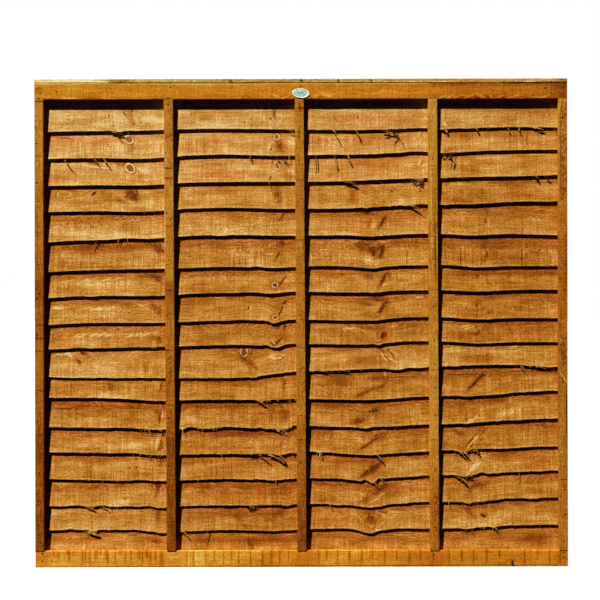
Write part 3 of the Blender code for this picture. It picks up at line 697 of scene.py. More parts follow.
        ("flakes", (314, 410, 350, 411, 1.6))),
    13: (
        ("light", (112, 449, 140, 444, 2.4), (130, 445, 154, 441.4, 2.4), (64, 443.6, 90, 444.4, 2.4),
         (111, 447, 161, 446, 3.4), (472.6, 448, 476.6, 438, 1.4)),
        ("bruise", (382, 436, 372, 441, 2.8), (373, 440, 358, 451, 2), (478, 436, 484, 430, 1.4)),
        ("chip", (157.4, 436, 155.4, 450, 0.8), (466.4, 449, 482, 431, 1.2)),
        ("brown", (161.8, 436, 158.4, 451, 0.7), (378, 437.4, 360, 450, 0.7), (163, 442, 161, 450, 0.8),
         (463.6, 448.6, 477.6, 432.4, 0.6), (470, 449, 473, 443, 0.5), (480, 430, 484, 433, 0.6)),
        ("shade", (284, 439, 279, 449, 1.4), (190, 434, 260, 434, 3)),
        ("line", (93.6, 441, 93.6, 450, 0.35)),
        ("smudge", (456, 433, 462, 434, 1.6)),
        ("glow", (50, 437, 100, 437, 2.4)),
        ("flakes", (313, 437, 350, 437, 2))),
    14: (
        # Painted shadows of the splinters and torn strips hanging from the lap above
        ("dark", (252, 457.6, 259, 458.4, 1.2), (274, 458, 283, 461, 1.5), (280, 460.6, 288.6, 467, 0.9),
         (375.4, 458.8, 385, 465, 0.6), (460, 453.6, 466.8, 461.6, 0.7),
         (465.4, 456.6, 470.6, 461.8, 0.6), (473.6, 453, 479, 455, 1.1)),
        ("light", (478, 461.8, 470, 475, 1.6), (475.6, 463, 467.6, 474, 2.4), (480, 452, 484, 458, 1.6),
         (60, 464, 140, 464, 3)),
        ("brown", (262, 457.6, 271.6, 465.4, 0.5), (368, 470, 360, 477.6, 0.8),
         (472, 473, 469, 476, 0.6)),
        ("pale", (205, 465.4, 232, 461.8, 0.8), (232, 462, 262, 461, 0.6), (262, 462, 280, 462.6, 0.8),
         (471, 468, 467, 476, 0.7), (484.6, 452, 485.4, 458, 0.7)),
        ("bruise", (381, 463.4, 372, 469, 3.2), (372, 469, 361, 477, 2.6), (382, 464, 366, 474, 2.4)),
        ("glow", (200, 462, 280, 463, 3), (313, 462, 350, 462, 2), (500, 460, 550, 460, 3)),
        ("chip", (480, 463, 474, 470, 0.6), (476, 462.4, 467.4, 475, 0.8)),
        ("smudge", (161, 456, 160, 464, 2.2))),
    15: (
        ("pale", (183, 492, 198, 490.6, 1), (188, 487.4, 206, 490.4, 0.6), (206, 490.6, 228, 487.2, 0.6),
         (228, 487.6, 240, 489.6, 0.6), (240, 491.6, 262, 488.6, 0.6), (262, 488.6, 278, 486.8, 0.6),
         (380, 498, 368, 503, 0.8)),
        ("bruise", (385, 484.8, 386, 485.2, 1.8), (384, 487, 374, 494, 2.6),
         (371, 494.6, 363, 500.4, 2.6), (486, 483.8, 478, 489, 2)),
        ("glow", (186, 494.4, 290, 493.4, 2.4), (50, 489, 110, 489, 2.4), (330, 490, 420, 489, 3)),
        ("light", (384, 491, 374, 500.6, 1.2), (112, 501, 130, 501, 2.4), (474, 494, 480, 488, 2.4)),
        # Painted shadows of the torn strips hanging from the lap above
        ("dark", (465, 480.6, 474, 480.8, 1.1), (463, 481.6, 470, 490.4, 0.6)),
        ("smudge", (471, 488, 480, 484, 1.6), (159, 486, 155, 497, 1.6)),
        ("shade", (190, 488, 290, 488, 4), (466, 486, 470, 491, 1.6))),
    16: (
        # Dark strokes under the lap above are painted shadows of its splinters and torn bits; the last is a
        # dark fleck on the wood
        ("dark", (249, 509, 256.6, 509.2, 1.8), (249.6, 511, 252.6, 511.6, 1.2),
         (224, 508.4, 233, 508.4, 0.9), (281, 507.8, 286, 508.8, 0.9), (90, 508.8, 97.2, 513, 0.5),
         (105, 508.8, 110, 512.8, 0.4), (482, 515, 484, 517, 1.2)),
        ("pale", (246, 518.6, 256, 516.6, 0.5), (258, 517, 263, 518.6, 0.6),
         (264, 518.6, 268, 516.6, 0.5), (382.6, 522, 377, 528, 0.8), (385, 509.8, 396, 513, 0.7),
         (396, 511.6, 410, 513, 0.7)),
        ("light", (382, 515, 382.6, 522, 0.8), (50, 510, 95, 512, 2.6), (446, 522, 500, 523, 4)),
        ("shade", (236, 516, 244, 526, 3), (190, 515, 270, 516, 5)),
        ("bruise", (466, 509.8, 473, 516, 2.2), (481, 514.6, 486, 515.6, 1.8)),
        ("glow", (95, 515, 130, 516, 3), (310, 520, 350, 522, 4)),
        ("brown", (378, 511.4, 386, 513, 0.8)),
        ("smudge", (158, 510, 157, 518, 2.4)),
        ("chip", (375, 531, 381, 530, 1))),
    17: (
        ("shade", (522, 539, 548, 539, 4.5), (527, 536, 544, 537, 3), (190, 540, 290, 541, 4)),
        ("glow", (50, 538, 100, 540, 1.8), (446, 538, 520, 539, 3)),
        # A painted shadow of the torn strip hanging from the lap above
        ("dark", (91, 534.6, 101, 538.4, 0.9)),
        ("red", (152, 541, 160, 541.4, 2.2)),
        ("smudge", (247, 539, 252, 548, 1.8)),
        ("flakes", (62, 544, 96, 545, 1.2))),
    "capping_strip": (
        ("shade", (110, 81, 127, 81, 2.4), (561, 81, 568, 81, 2.4)),
        ("glow", (234, 80.6, 560, 80.4, 0.5), (272, 81.4, 300, 81.3, 0.6)),
        ("cream", (35, 82.6, 108, 82.2, 2.4)),
        ("light", (35, 80.6, 108, 80.6, 2.6)),
        ("pale", (127, 80.6, 229, 80.2, 0.7), (127, 82, 229, 81.8, 0.6)),
        ("brown", (229.5, 80, 233, 83, 1.4)),
        ("pale", (234, 81.8, 560, 81.6, 0.5)),
        ("dark", (121.5, 82, 122.5, 84, 0.9), (301.5, 80, 302.5, 82, 1.2), (338.5, 80, 339.5, 82, 0.9),
         (371.5, 80, 372.5, 82, 0.9)),
        ("chip", (510, 82, 560, 81.8, 0.7))),
    "top_rail": (
        ("cream", (34, 83.2, 62, 83.2, 0.9), (60, 82.9, 108, 82.8, 0.7), (440, 98.4, 446, 96, 1.15),
         (447, 98.9, 453.6, 95.3, 1.15), (454, 98.9, 461, 96, 1.15), (464.5, 98.9, 474, 94.8, 1.15),
         (478.6, 94.8, 487, 98.9, 1.15), (490.6, 96, 492.9, 98.9, 1.15), (494.3, 98.9, 502.9, 96, 1.15),
         (508.6, 98.6, 520, 95.3, 1.15), (531.4, 98.9, 538.6, 96.6, 1.15), (540, 98.9, 550, 95.3, 1.15)),
        ("chip", (262, 83.9, 311, 83.7, 0.8), (272.6, 94.6, 279.4, 96.6, 0.8), (282, 98.8, 289, 96, 0.8),
         (311.4, 97, 318, 95.4, 0.8), (321.6, 94.6, 330.4, 96.6, 0.9)),
        ("shade", (262, 97.4, 336, 97.2, 1.8), (440, 97.2, 556, 97, 1.8), (430, 85.4, 560, 85.2, 1.4),
         (83, 97, 100, 97, 1.8), (556, 87, 568, 87, 3)),
        # Brown strokes along the rail's top edge: painted shadow under the capping strip
        ("brown", (233, 83, 310, 82.8, 0.6), (310, 83, 430, 82.9, 0.4), (430, 83.6, 505, 83.4, 0.6)),
        ("light", (57, 97.6, 80, 97.6, 1), (120, 94, 150, 95, 2)),
        # Painted shadow under the capping strip
        ("dark", (503, 83.5, 566, 83.4, 0.8)),
        ("pale", (311, 83.7, 336, 83.7, 0.5), (263, 95, 269, 96.8, 0.8), (269, 96.8, 264, 98.6, 0.8),
         (279.4, 96.6, 274, 98.8, 0.8), (313, 98.6, 319, 97, 0.7), (330.4, 96.6, 323, 98.8, 0.8),
         (62, 98, 78, 98, 0.9), (80, 91, 102, 90, 0.8), (315, 91, 330, 93.5, 0.7),
         (332, 94, 348, 92, 0.7), (350, 91, 366, 94, 0.7), (370, 94, 386, 91.5, 0.7),
         (390, 91.5, 408, 94, 0.7), (410, 93.5, 428, 92, 0.7), (461, 96, 472, 95.2, 0.5),
         (480, 97.6, 484, 99.2, 0.5), (522, 98.9, 530, 96.2, 0.4), (36, 84.4, 565, 84, 0.5)),
        # The first line stroke is painted shadow under the capping strip
        ("line", (108, 83.4, 230, 83.2, 0.4), (242, 98.5, 247, 95, 0.6), (247, 95, 252, 98.5, 0.6),
         (457, 98.9, 462, 97.6, 0.6), (475, 97.6, 480, 98.6, 0.6), (487, 97, 490, 99, 0.6),
         (503, 98, 508, 98.6, 0.6), (524, 97, 530, 98.6, 0.6)),
        ("smudge", (37, 90, 40, 88, 2.6)),
        ("glow", (292, 88, 300, 90, 2.4))),
    "bottom_rail": (
        ("drip", (53, 550, 53.3, 556, 0.9), (58, 550, 58.2, 558, 0.9), (67, 549, 67, 552, 1.6),
         (68.6, 551, 68.6, 560, 0.9), (73, 550, 73, 555, 0.9), (81.9, 549, 82, 562, 1),
         (85, 550, 85.2, 561, 0.7), (89.4, 549, 89.6, 563, 1), (95.6, 550, 95.6, 558, 1.3),
         (100, 550, 100, 555, 0.9), (106, 549, 106, 557, 2), (107, 556, 107, 562, 0.9),
         (114.4, 550, 114.6, 563, 0.8), (120, 549, 120, 554, 1.4), (125, 550, 125, 562, 0.8),
         (138.8, 549, 138.8, 558, 1.4), (146, 549, 146.4, 556, 1.8), (150, 551, 150, 562, 0.9),
         (155, 549, 155.2, 560, 1.2), (161, 551, 161, 565, 1.8), (186, 550, 186, 564, 0.7),
         (193, 549, 193, 565, 0.8), (205, 549, 205.4, 565, 0.8), (214, 550, 214, 562, 0.7),
         (223, 549, 223, 565, 0.6), (231, 550, 231, 561, 0.9), (238, 549, 238.4, 565, 0.8),
         (250, 550, 250, 565, 0.7), (262, 549, 262, 565, 1), (271, 550, 271, 565, 1.2),
         (279, 549, 279.2, 565, 0.8), (288, 550, 288, 561, 0.7), (318, 549, 318, 565, 0.8),
         (337, 549, 337, 565, 0.8), (361, 549, 361.4, 563, 1), (384, 549, 384, 565, 0.8),
         (409, 549, 409, 565, 0.8), (449, 550, 449, 565, 0.7), (473, 549, 473, 565, 0.7),
         (486, 549, 486.4, 563, 1), (524, 549, 524, 565, 0.8), (549, 549, 549, 565, 0.7)),
        ("red", (326, 550, 326.4, 559, 0.9), (349, 550, 349, 561, 0.9), (372, 550, 372, 558, 0.9),
         (396, 550, 396.3, 560, 0.9), (420, 550, 420, 560, 0.9), (461, 550, 461.3, 562, 0.9),
         (499, 550, 499, 558, 0.8), (537, 550, 537.3, 560, 0.8)),
        ("glow", (36, 558, 44, 558, 5), (298, 558, 308, 558, 7), (431, 558, 441, 558, 7)),
        ("dark", (512, 562, 512.4, 566, 1.2)),
        ("brown", (130.6, 549, 130.6, 562, 0.6), (141.9, 550, 142, 563, 0.7),
         # The long stroke along the foot is painted shade on the rail's lower arris
         (40, 566.3, 565, 565.3, 0.5), (432.6, 552, 432.6, 565, 0.5), (559.6, 551, 559.6, 565, 0.5)),
        ("shade", (560, 558, 568, 558, 7)),
        # A painted highlight along the top arris, where the ledge catches the light
        ("pale", (50, 549.6, 558, 549.4, 0.5)),
        ("line", (46.2, 551, 46.4, 565, 0.4))),
    "left_stile": (
        ("line", (33, 325, 44, 325, 0.5), (33, 351, 44, 351, 0.5), (34, 120, 43, 120, 0.4),
         (33, 155, 42, 155.4, 0.4), (34, 232, 43, 232.4, 0.4)),
        ("brown", (33, 338, 44, 338.4, 0.6), (34, 390, 44, 390.4, 0.5)),
        ("dark", (35, 101, 45, 101, 0.6)),
        ("glow", (36, 200, 37, 280, 3)),
        ("pale", (41, 130, 41.5, 190, 0.6))),
    "batten_1": (
        ("line", (163, 226, 172, 226.4, 0.4), (163, 290, 172, 290, 0.5), (165, 405, 174, 405.4, 0.5)),
        ("glow", (163, 135, 172, 135, 2.2), (163, 178, 172, 178, 2.4)),
        ("brown", (163, 168, 172, 168, 1), (164, 350, 173, 350.3, 0.5)),
        ("red", (164, 178, 171, 178, 0.8)),
        ("pale", (165, 200, 165.4, 260, 0.6))),
    "batten_2": (
        ("brown", (296, 240, 305, 240, 0.5), (300, 106, 300.4, 110, 0.8), (297, 440, 306, 440, 0.5),
         (298, 108, 304, 108, 0.8)),
        ("line", (296, 180, 305, 180.3, 0.5), (296, 283, 305, 283.4, 0.5), (297, 348, 306, 348.4, 0.5)),
        ("grey", (299.5, 130, 299.5, 133, 1.2), (299.6, 136, 299.6, 138, 1.2))),
    "batten_3": (
        ("line", (435.4, 180, 435.6, 215, 0.3), (430, 290, 440, 290.3, 0.5), (430, 370, 440, 370.4, 0.5),
         (430, 440, 440, 440.3, 0.5)),
        ("dark", (435.6, 215, 435.9, 283, 0.45)),
        ("pale", (431, 140, 431.4, 260, 0.6)),
        ("glow", (434, 305, 440, 305, 3))),
    "right_stile": (
        ("chip", (560, 373, 566, 383, 0.8), (561, 452, 561.4, 453.4, 1)),
        ("brown", (562, 377, 563, 383, 0.8), (560, 480, 569, 480.3, 0.5)),
        ("dark", (566.4, 384, 566.8, 445, 0.6)),
        ("light", (561, 385, 561.4, 440, 1)),
        ("red", (560.4, 110, 560.6, 200, 0.5)),
        ("line", (559, 300, 568, 300.4, 0.5)),
        ("shade", (566, 230, 566.4, 290, 0.9))),
}
# How the dip took along a bar: row of an upright or column of a rail, tone, redness
BAR_TONES = {
    "left_stile": ((100, 0.82, -0.15), (160, 0.8, -0.1), (190, 0.72, 0.05), (210, 0.77, -0.05),
        (275, 0.7, 0), (284, 0.6, 0.15), (300, 0.6, 0.1), (312, 0.66, 0.05), (410, 0.63, 0),
        (432, 0.58, 0), (440, 0.54, -0.05), (548, 0.55, -0.05)),
    "batten_1": ((100, 0.78, -0.1), (140, 0.81, -0.1), (155, 0.85, -0.12), (279, 0.81, -0.1),
        (283, 0.63, 0.15), (300, 0.67, 0.05), (330, 0.77, 0.1), (345, 0.73, 0.1), (370, 0.67, 0.1),
        (436, 0.65, 0.1), (440, 0.5, 0.2), (470, 0.55, 0), (500, 0.56, 0.05), (548, 0.52, 0.05)),
    "batten_2": ((100, 0.78, -0.1), (150, 0.74, -0.15), (270, 0.74, -0.1), (300, 0.73, 0.1),
        (330, 0.75, 0), (390, 0.77, -0.05), (410, 0.72, -0.05), (440, 0.69, -0.1), (490, 0.64, 0),
        (515, 0.55, 0.05), (548, 0.51, 0.05)),
    "batten_3": ((100, 0.91, -0.2), (130, 0.85, -0.15), (190, 0.8, -0.05), (240, 0.8, -0.15),
        (300, 0.79, 0), (350, 0.82, -0.15), (400, 0.86, -0.2), (455, 0.81, -0.15), (478, 0.73, 0),
        (500, 0.68, 0.1), (548, 0.7, 0)),
    "right_stile": ((100, 0.85, -0.25), (150, 0.79, -0.2), (200, 0.74, -0.05), (240, 0.68, 0),
        (300, 0.71, 0.1), (350, 0.68, -0.1), (410, 0.66, -0.15), (430, 0.7, -0.2), (548, 0.71, -0.15)),
    "top_rail": ((34, 0.825, -0.3), (60, 0.795, -0.32), (150, 0.775, -0.25), (250, 0.775, -0.12),
        (310, 0.765, -0.18), (380, 0.775, -0.22), (430, 0.735, -0.18), (455, 0.655, 0),
        (480, 0.655, -0.12), (504, 0.675, -0.12), (530, 0.635, -0.08), (552, 0.605, -0.08),
        (560, 0.525, 0), (565, 0.505, 0)),
    "bottom_rail": ((34, 0.89, 0.1), (60, 0.91, 0.05), (130, 0.91, 0.05), (150, 0.85, 0.15),
        (190, 0.98, -0.02), (220, 0.96, -0.02), (250, 0.89, 0.08), (270, 0.79, 0.2), (290, 0.87, 0.05),
        (306, 0.8, 0.1), (330, 0.89, 0.05), (410, 0.79, 0.1), (430, 0.74, 0.15), (500, 0.76, 0.05),
        (565, 0.76, 0)),
    "capping_strip": ((34, 0.96, -0.05), (105, 0.94, -0.05), (112, 0.83, 0), (300, 0.83, 0),
        (350, 0.86, -0.05), (565, 0.86, 0)),
}
# Sprinkled small dots: piece, left and right column, top and foot row, how many, seed, kind
SPECKLES = (
    ("right_stile", 560, 567.5, 102, 200, 210, 5, "line"),
    ("right_stile", 560, 567.5, 338, 368, 50, 17, "line"),
    ("batten_3", 433, 440, 496, 540, 50, 14, "line"), ("left_stile", 34, 43, 280, 540, 10, 6, "dark"),
    ("batten_1", 164, 172, 110, 200, 6, 7, "dark"), ("batten_1", 163, 173, 212, 226, 12, 15, "line"),
    ("batten_3", 431, 439, 220, 236, 12, 16, "line"), (14, 52, 160, 458, 478, 6, 9, "dark"),
    (1, 60, 420, 110, 126, 6, 10, "dark"), (7, 330, 425, 272, 290, 4, 11, "dark"),
    ("bottom_rail", 180, 560, 552, 563, 24, 13, "line"),
)

# Bends of the lower edges which the CAD leaves out: column, half width, drop in pixels
EDGE_BENDS = {
    1: ((119, 4, 1.3), (536, 3, 0.9), (455, 10, -1)),
    2: ((400, 8, 0.8), (446, 5, 0.4)),
    3: ((421, 3, 0.6), (446, 4, 0.7)),
    4: ((408, 5, 0.9), (446, 4, 0.8), (550, 12, 0.6), (367, 3, 0.8)),
    5: ((126, 14, -1), (221, 8, 0.8), (481, 24, 0.2)),
    6: ((257, 7, -1), (350, 16, 0.4), (390, 8, 0.4)),
    7: ((253, 14, -1.4), (376, 8, 1), (535, 16, 0.5), (90, 6, 0.8)),
    8: ((224, 10, 0.8), (273, 4, 1.2), (376, 8, 0.5)),
    9: ((266, 4, -0.9), (279, 3, 0.4), (152, 3, 0.4), (379, 3.5, 1.3), (77, 8, -0.7)),
    10: ((254, 4, 1), (397, 9, 2), (418, 8, 0.8), (540, 14, 1.5), (458, 4, 0.6)),
    11: ((260, 3, 2.6), (266, 3, 0.8), (467, 6, 0.8), (533, 14, 2)),
    12: ((126, 20, -1.2), (182, 4, 2), (206, 13, 1.9), (260, 3, -1), (284, 7, 2.2), (364, 6, 1.2),
         (467, 4, 0.5)),
    13: ((130, 14, -1), (280, 6, 1.2), (319, 3, 0.8), (464, 7, 2.6)),
    14: ((140, 10, -1), (260, 8, -1.2), (366, 4, -2.4), (379, 4, -2.2), (465, 7, 1.8), (482, 4, -1.9)),
    15: ((74, 10, -1), (101, 6, -1.4), (148, 7, -1.5), (286, 5, 1.5), (337, 7, 0.8), (402, 9, 0.7),
         (469, 4, 1.1), (533, 8, 1)),
    16: ((68, 4, -1), (92, 4, 1.6), (152, 4, -0.9), (379, 5, -1.8), (467, 6, 0.9), (494, 4, 1)),
}
# The edges run a little lower to the right than the CAD draws them: column, drop in pixels.
# The boards from the eleventh down do so by only a part of it.
LESS_SAG_FROM = 11
LESS_SAG = 0.3
EDGE_SAG = (
    (40, 0), (300, 0.3), (340, 0.8), (450, 1.1), (565, 1.1),
)

# Splinters at the lower edges: board, column and row of root and tip, how far out in mm, strands
SPLINTERS = (
    (1, 127.2, 131.4, 129.1, 134.6, 4, 1), (1, 333, 131.6, 338, 139, 13, 1),
    (1, 356, 131.6, 359, 137, 9, 1), (1, 447, 131.6, 447.6, 133.6, 5, 2),
    (1, 519, 129.6, 519.8, 131, 6, 1), (1, 555, 129, 555.6, 130.6, 4, 1),
    (2, 250, 157.6, 251, 159.6, 4, 2), (2, 289, 158.6, 290, 161, 2, 1),
    (2, 316.5, 157.6, 316, 166.5, 9, 1), (2, 334.6, 157, 336, 164.6, 12, 1),
    (2, 347, 156.4, 349.6, 159, 15, 1), (3, 269, 184, 270, 185.6, 2, 1),
    (3, 345, 182.6, 355.6, 184, 5, 2), (3, 411, 180.6, 420, 182.6, 5, 2),
    (3, 419, 180.6, 421, 182.6, 8, 3), (4, 408, 206.4, 416, 208.4, 4, 1), (4, 411, 207, 421, 211, 10, 1),
    (5, 98.6, 240, 95, 244.6, 3, 1), (5, 120, 240, 118, 242.6, 3, 1), (5, 127, 240, 127.6, 242, 4, 1),
    (8, 276, 321, 277, 323, 3, 2), (10, 315, 371.6, 328, 372.2, 2, 1), (10, 334, 371.2, 350, 371.6, 2, 1),
    (10, 521, 367.6, 523.6, 369.6, 5, 3), (10, 528, 368, 552, 368.6, 3, 2),
    (11, 258, 402.6, 266, 405, 5, 3), (12, 159, 430, 160, 432, 4, 2),
    (12, 181.6, 430.6, 183, 433.6, 6, 2), (12, 272, 430.6, 286, 432.6, 5, 4),
    (13, 221, 455.6, 221.6, 457.4, 4, 1), (13, 277, 456.6, 284, 459.6, 9, 2),
    (13, 319, 456, 320, 458, 5, 2), (13, 375, 456.6, 382.6, 462, 8, 1), (13, 476, 453, 479, 455, 6, 3),
    (14, 197, 481, 198, 482.6, 7, 1), (14, 275, 481, 275.8, 483, 4, 2), (14, 373, 482, 377, 485, 9, 1),
    (14, 519, 475.6, 519, 481, 3, 1), (15, 249, 507, 253.6, 509, 1, 2), (15, 328, 506, 330.6, 508, 5, 1),
    (15, 448, 504, 449, 506, 4, 1), (16, 182, 531, 187, 535.6, 10, 1), (16, 209, 530.6, 204, 542, 8, 1),
    (16, 493, 529, 496.6, 530.6, 5, 1), (16, 540, 526.6, 540.6, 528.4, 4, 1),
)
# Torn strips that hang or stand off an edge: board, girth, then column, row and mm out of the face
STRIPS = (
    (13, 0.7, ((258.6, 454.8, 0), (264, 457.8, 3), (269, 461.6, 6))),
    (13, 0.9, ((268, 455, 0), (277, 457.6, 4), (284, 461, 7))),
    (13, 0.9, ((270, 454.8, 0), (277, 458, 4), (284.6, 463.4, 7))),
    (1, 0.9, ((111, 131, 0), (118, 133, -1.5), (125.4, 135.8, -2))),
    (1, 0.9, ((113, 131.4, 0), (118, 133.8, -3), (123.6, 134.6, -2))),
    (1, 1, ((114.6, 131.6, -1), (117.6, 134, -3), (120.4, 136.6, -3))),
    (1, 0.9, ((476.6, 128.6, 0), (477.4, 129.6, 4), (478.2, 131.2, 5))),
    (1, 0.9, ((508.4, 129.4, 0), (508.8, 129.8, 3), (509.6, 130.6, 6))),
    (1, 1, ((537, 128.8, 0), (539, 129, 3), (541.4, 129.4, 5))),
    (1, 0.9, ((540, 129, 0), (541, 129.8, 2), (543.6, 130.4, 3))),
    (1, 0.5, ((289, 131.4, 0), (291, 130.6, 1), (293, 131, 1), (293.4, 133, 0), (291, 133.4, -1))),
    (1, 0.7, ((383, 131.4, 0), (387, 132.2, 0), (392, 133.4, 1), (396, 135.4, 1), (398.4, 137, 0))),
    (1, 0.5, ((384, 131.6, 1), (386, 130.4, 2), (389, 129.4, 1))),
    (1, 0.6, ((392, 132.6, 0), (395, 134, -2), (397.6, 133, -2), (399, 136, -3))),
    (1, 0.7, ((396.8, 138.4, -4), (398, 140.6, -4), (396.8, 142.8, -4.5))),
    (3, 0.8, ((345, 182, 0), (350, 183, 0), (355, 184.4, 0), (358.4, 186.4, -1))),
    (3, 0.6, ((411, 180.6, 0), (414, 182, 1), (417.6, 184.6, 0))),
    (3, 0.6, ((420, 179.6, 1), (422.4, 180.6, 1), (422, 183, 0), (419, 184.6, 0))),
    (4, 0.7, ((411, 205.8, 0), (415, 208, 1), (419, 210.6, 2))),
    (1, 1.2, ((443.4, 130.4, -2), (445.6, 131.4, -3), (447.6, 131, -3), (448, 133.6, -4))),
    (2, 0.7, ((442.6, 152, -2), (444, 155.4, -3), (443.2, 158.6, -3), (445.8, 157, -2.6),
             (447, 152.6, -2), (448.2, 148, 1))),
    (2, 0.7, ((446, 153, -2), (449, 151.6, -1), (452, 154.6, -2.6), (451, 158.4, -3),
             (447.4, 157.4, -2.6))),
    (2, 0.8, ((449.6, 156, -2.4), (452.6, 159.8, -2.6), (455, 163, -2.4), (454, 167.4, -2.2),
             (452, 165, -2.6))),
    (2, 1.1, ((64.8, 160, 0), (66.6, 161.6, 5), (68.8, 163.6, 11))),
    (2, 1, ((95, 159.2, 0), (96, 160.4, 3), (97.4, 161.8, 6))),
    (2, 1.1, ((103.9, 158.7, 0), (105.8, 160.8, 4), (107.8, 163.2, 9))),
    (2, 0.9, ((276, 158.4, 0), (279, 160.8, -2), (281, 163, -3))),
    (2, 0.9, ((283, 158.4, 0), (286, 161.4, -2), (289.4, 163.4, -2))),
    (3, 1.3, ((535.5, 176.8, 0), (536.6, 177.4, 3), (538, 178.8, 7))),
    (3, 1, ((546, 177.6, 0), (547.4, 177.8, 2), (549, 178.4, 5))),
    (13, 1.2, ((457.6, 451, 0), (461, 453.6, 3), (463.4, 455.4, 6))),
    (13, 1.2, ((463.6, 452.6, 0), (466, 454.2, 4), (467.8, 456.4, 5))),
    (13, 0.9, ((473, 451.6, -1), (475, 451, 1), (477.6, 452, 2))),
    (14, 1.2, ((455.5, 476.2, 0), (460, 478.6, 4), (465.6, 481.4, 9))),
    (14, 1.2, ((458, 477.4, -1), (461, 479.6, 1), (464.4, 481.4, 4))),
    (15, 0.7, ((86, 507, 0), (90, 507.8, 1), (93.6, 509, 2))),
    (15, 0.6, ((103.8, 507.6, 0), (106, 508.2, 1), (108, 509.1, 2))),
    (16, 0.8, ((87, 531.2, 0), (92, 531.8, 2.5), (97, 532.6, 5))),
    (16, 1, ((87.6, 532, 0), (92, 533, 1.5), (96, 534, 3))),
    (16, 1.4, ((88, 532.4, -1), (93, 533.8, 0.5), (97, 535.4, 1.5))),
)
# Short torn fibres along an edge: board, left and right column, how many
FRINGES = (
    (1, 386, 402, 14), (1, 475, 545, 20), (2, 436, 455, 16), (2, 270, 293, 20), (3, 414, 424, 8),
    (3, 446, 470, 8), (4, 120, 160, 6), (9, 150, 162, 3), (10, 318, 360, 12), (10, 520, 558, 20),
    (11, 255, 270, 10), (12, 135, 163, 14), (13, 132, 163, 16), (13, 250, 295, 16), (11, 270, 295, 12),
    (12, 268, 292, 16), (12, 183, 220, 10), (13, 455, 482, 14), (13, 315, 325, 6), (14, 365, 382, 8),
    (14, 456, 475, 12), (15, 455, 500, 12), (14, 60, 130, 8), (15, 246, 258, 10), (15, 88, 125, 16),
    (16, 82, 98, 8), (16, 464, 500, 10),
)

# Nail heads by piece: column and row
NAILS = {
    "top_rail": ((57, 91.5), (40.5, 92.5), (38.5, 97.5), (171, 87), (168.5, 98.5), (242, 85),
        (301.5, 86.5), (435, 86.5), (435, 96.5), (545.5, 88.5), (563.5, 88.3), (563.5, 94.3)),
    "bottom_rail": ((42, 553.5), (42, 560.6), (51.5, 561), (434, 555), (434, 560), (563, 553),
        (563, 558)),
    "left_stile": ((37, 115), (35.6, 127), (36.4, 143), (37, 182), (37, 261), (37, 298), (38.8, 473),
        (37, 493), (38, 500), (38.5, 525), (39.8, 542)),
    "batten_1": ((168.5, 104.5), (167, 213), (167, 264), (167, 315), (170, 372), (168, 418), (168, 465)),
    "batten_2": ((300, 104), (299, 160), (299, 201), (299, 248), (300, 315), (302, 368), (301, 415),
        (300, 463), (300, 512), (301, 541)),
    "batten_3": ((432.6, 159), (434.5, 265), (433.4, 307), (434, 340), (434.7, 364.5), (435.3, 388),
        (435, 416), (435, 470), (435, 512), (434, 536)),
    "right_stile": ((563, 117), (563, 130), (562, 147), (563, 254), (565, 290), (564, 328), (564, 467),
        (564.5, 490), (564.5, 514.6), (563.3, 541.7)),
}

# How far apart a board's points stand, how thick it is, and which board ends behind the bottom rail
BOARD_STEP = 3.3 * MM
BOARD_THICK = 6 * MM
LOWEST_BOARD = 17
# How far a crisp mark is felt in pixels, and a knot in its radii
MARK_REACH = 2.2
KNOT_REACH = 3.2
# The distance written where no mark is near, in half widths
FAR_OFF = 9.0
# How far apart a bar's points stand across its face and from front to back
BAR_ACROSS = 4.5 * MM
BAR_DEEP = 8 * MM
# The depth at which the boards' lower edges lie, and the foremost that a splinter may reach
EDGE_Y = 8 * MM
SPLINTER_FRONT = -17 * MM
# How near to a timber's edge a nail's middle may come
NAIL_MARGIN = 4 * MM
# Each board's lower edge, kept for the splinters that stand on it
board_edges = {}


def picture_place(x, y, z):
    """The picture's column and row at which places of the panel show."""
    near = CAMERA_AWAY / (CAMERA_AWAY + y - FRONT_Y) / PIXEL
    return PICTURE / 2 + (x - CAMERA_X) * near, PICTURE / 2 - (z - CAMERA_Z) * near


def new_paints(grain, tone, red, rings, saw):
    """The paints of a piece before its marks, each as one vector a point."""
    paints = {label: np.zeros(grain.shape) for label in PAINTS}
    paints["grain"] = grain
    paints["finish"][..., 0] = tone
    paints["finish"][..., 1] = red
    paints["texture"][..., 0] = rings
    paints["texture"][..., 1] = saw
    paints["mark"][..., :2] = FAR_OFF
    return paints


def add_marks(paints, piece, col, row):
    """Paints a piece's marks: soft ones into its finish, crisp ones as distances which the shader cuts."""
    marks = [(*stroke, kind) for kind, *strokes in MARKS.get(piece, ()) for stroke in strokes]
    for name, left, right, top, foot, count, seed, kind in SPECKLES:
        if name == piece:
            draw = np.random.default_rng(seed)
            for px, py in zip(draw.uniform(left, right, count), draw.uniform(top, foot, count)):
                marks.append((px, py, px + 0.4, py + 0.3, draw.uniform(0.35, 0.7), kind))
    nearest = np.full(col.shape, MARK_REACH)
    for x0, y0, x1, y1, half, kind in marks:
        run = math.hypot(x1 - x0, y1 - y0)
        c, s = (x1 - x0) / run, (y1 - y0) / run
        dx, dy = col - (x0 + x1) / 2, row - (y0 + y1) / 2
        along, aside = dx * c + dy * s, dy * c - dx * s
        reach = run / 2 + half
        if kind in SOFT_KINDS:
            *change, torn = SOFT_KINDS[kind]
            share = np.exp(-(along / reach) ** 4 - (aside / half) ** 2)
            paints["finish"] += share[..., None] * change
            paints["texture"][..., 2] += share * torn
            continue
        off = np.hypot(np.maximum(np.abs(along) - reach, 0), np.maximum(np.abs(aside) - half, 0))
        here = off < nearest
        nearest = np.where(here, off, nearest)
        weight = np.clip((MARK_REACH - off) / 0.7, 0, 1)
        paints["mark"][here] = np.stack([along / reach, aside / half, weight], -1)[here]
        paints["mark_look"][here] = CRISP_KINDS[kind]


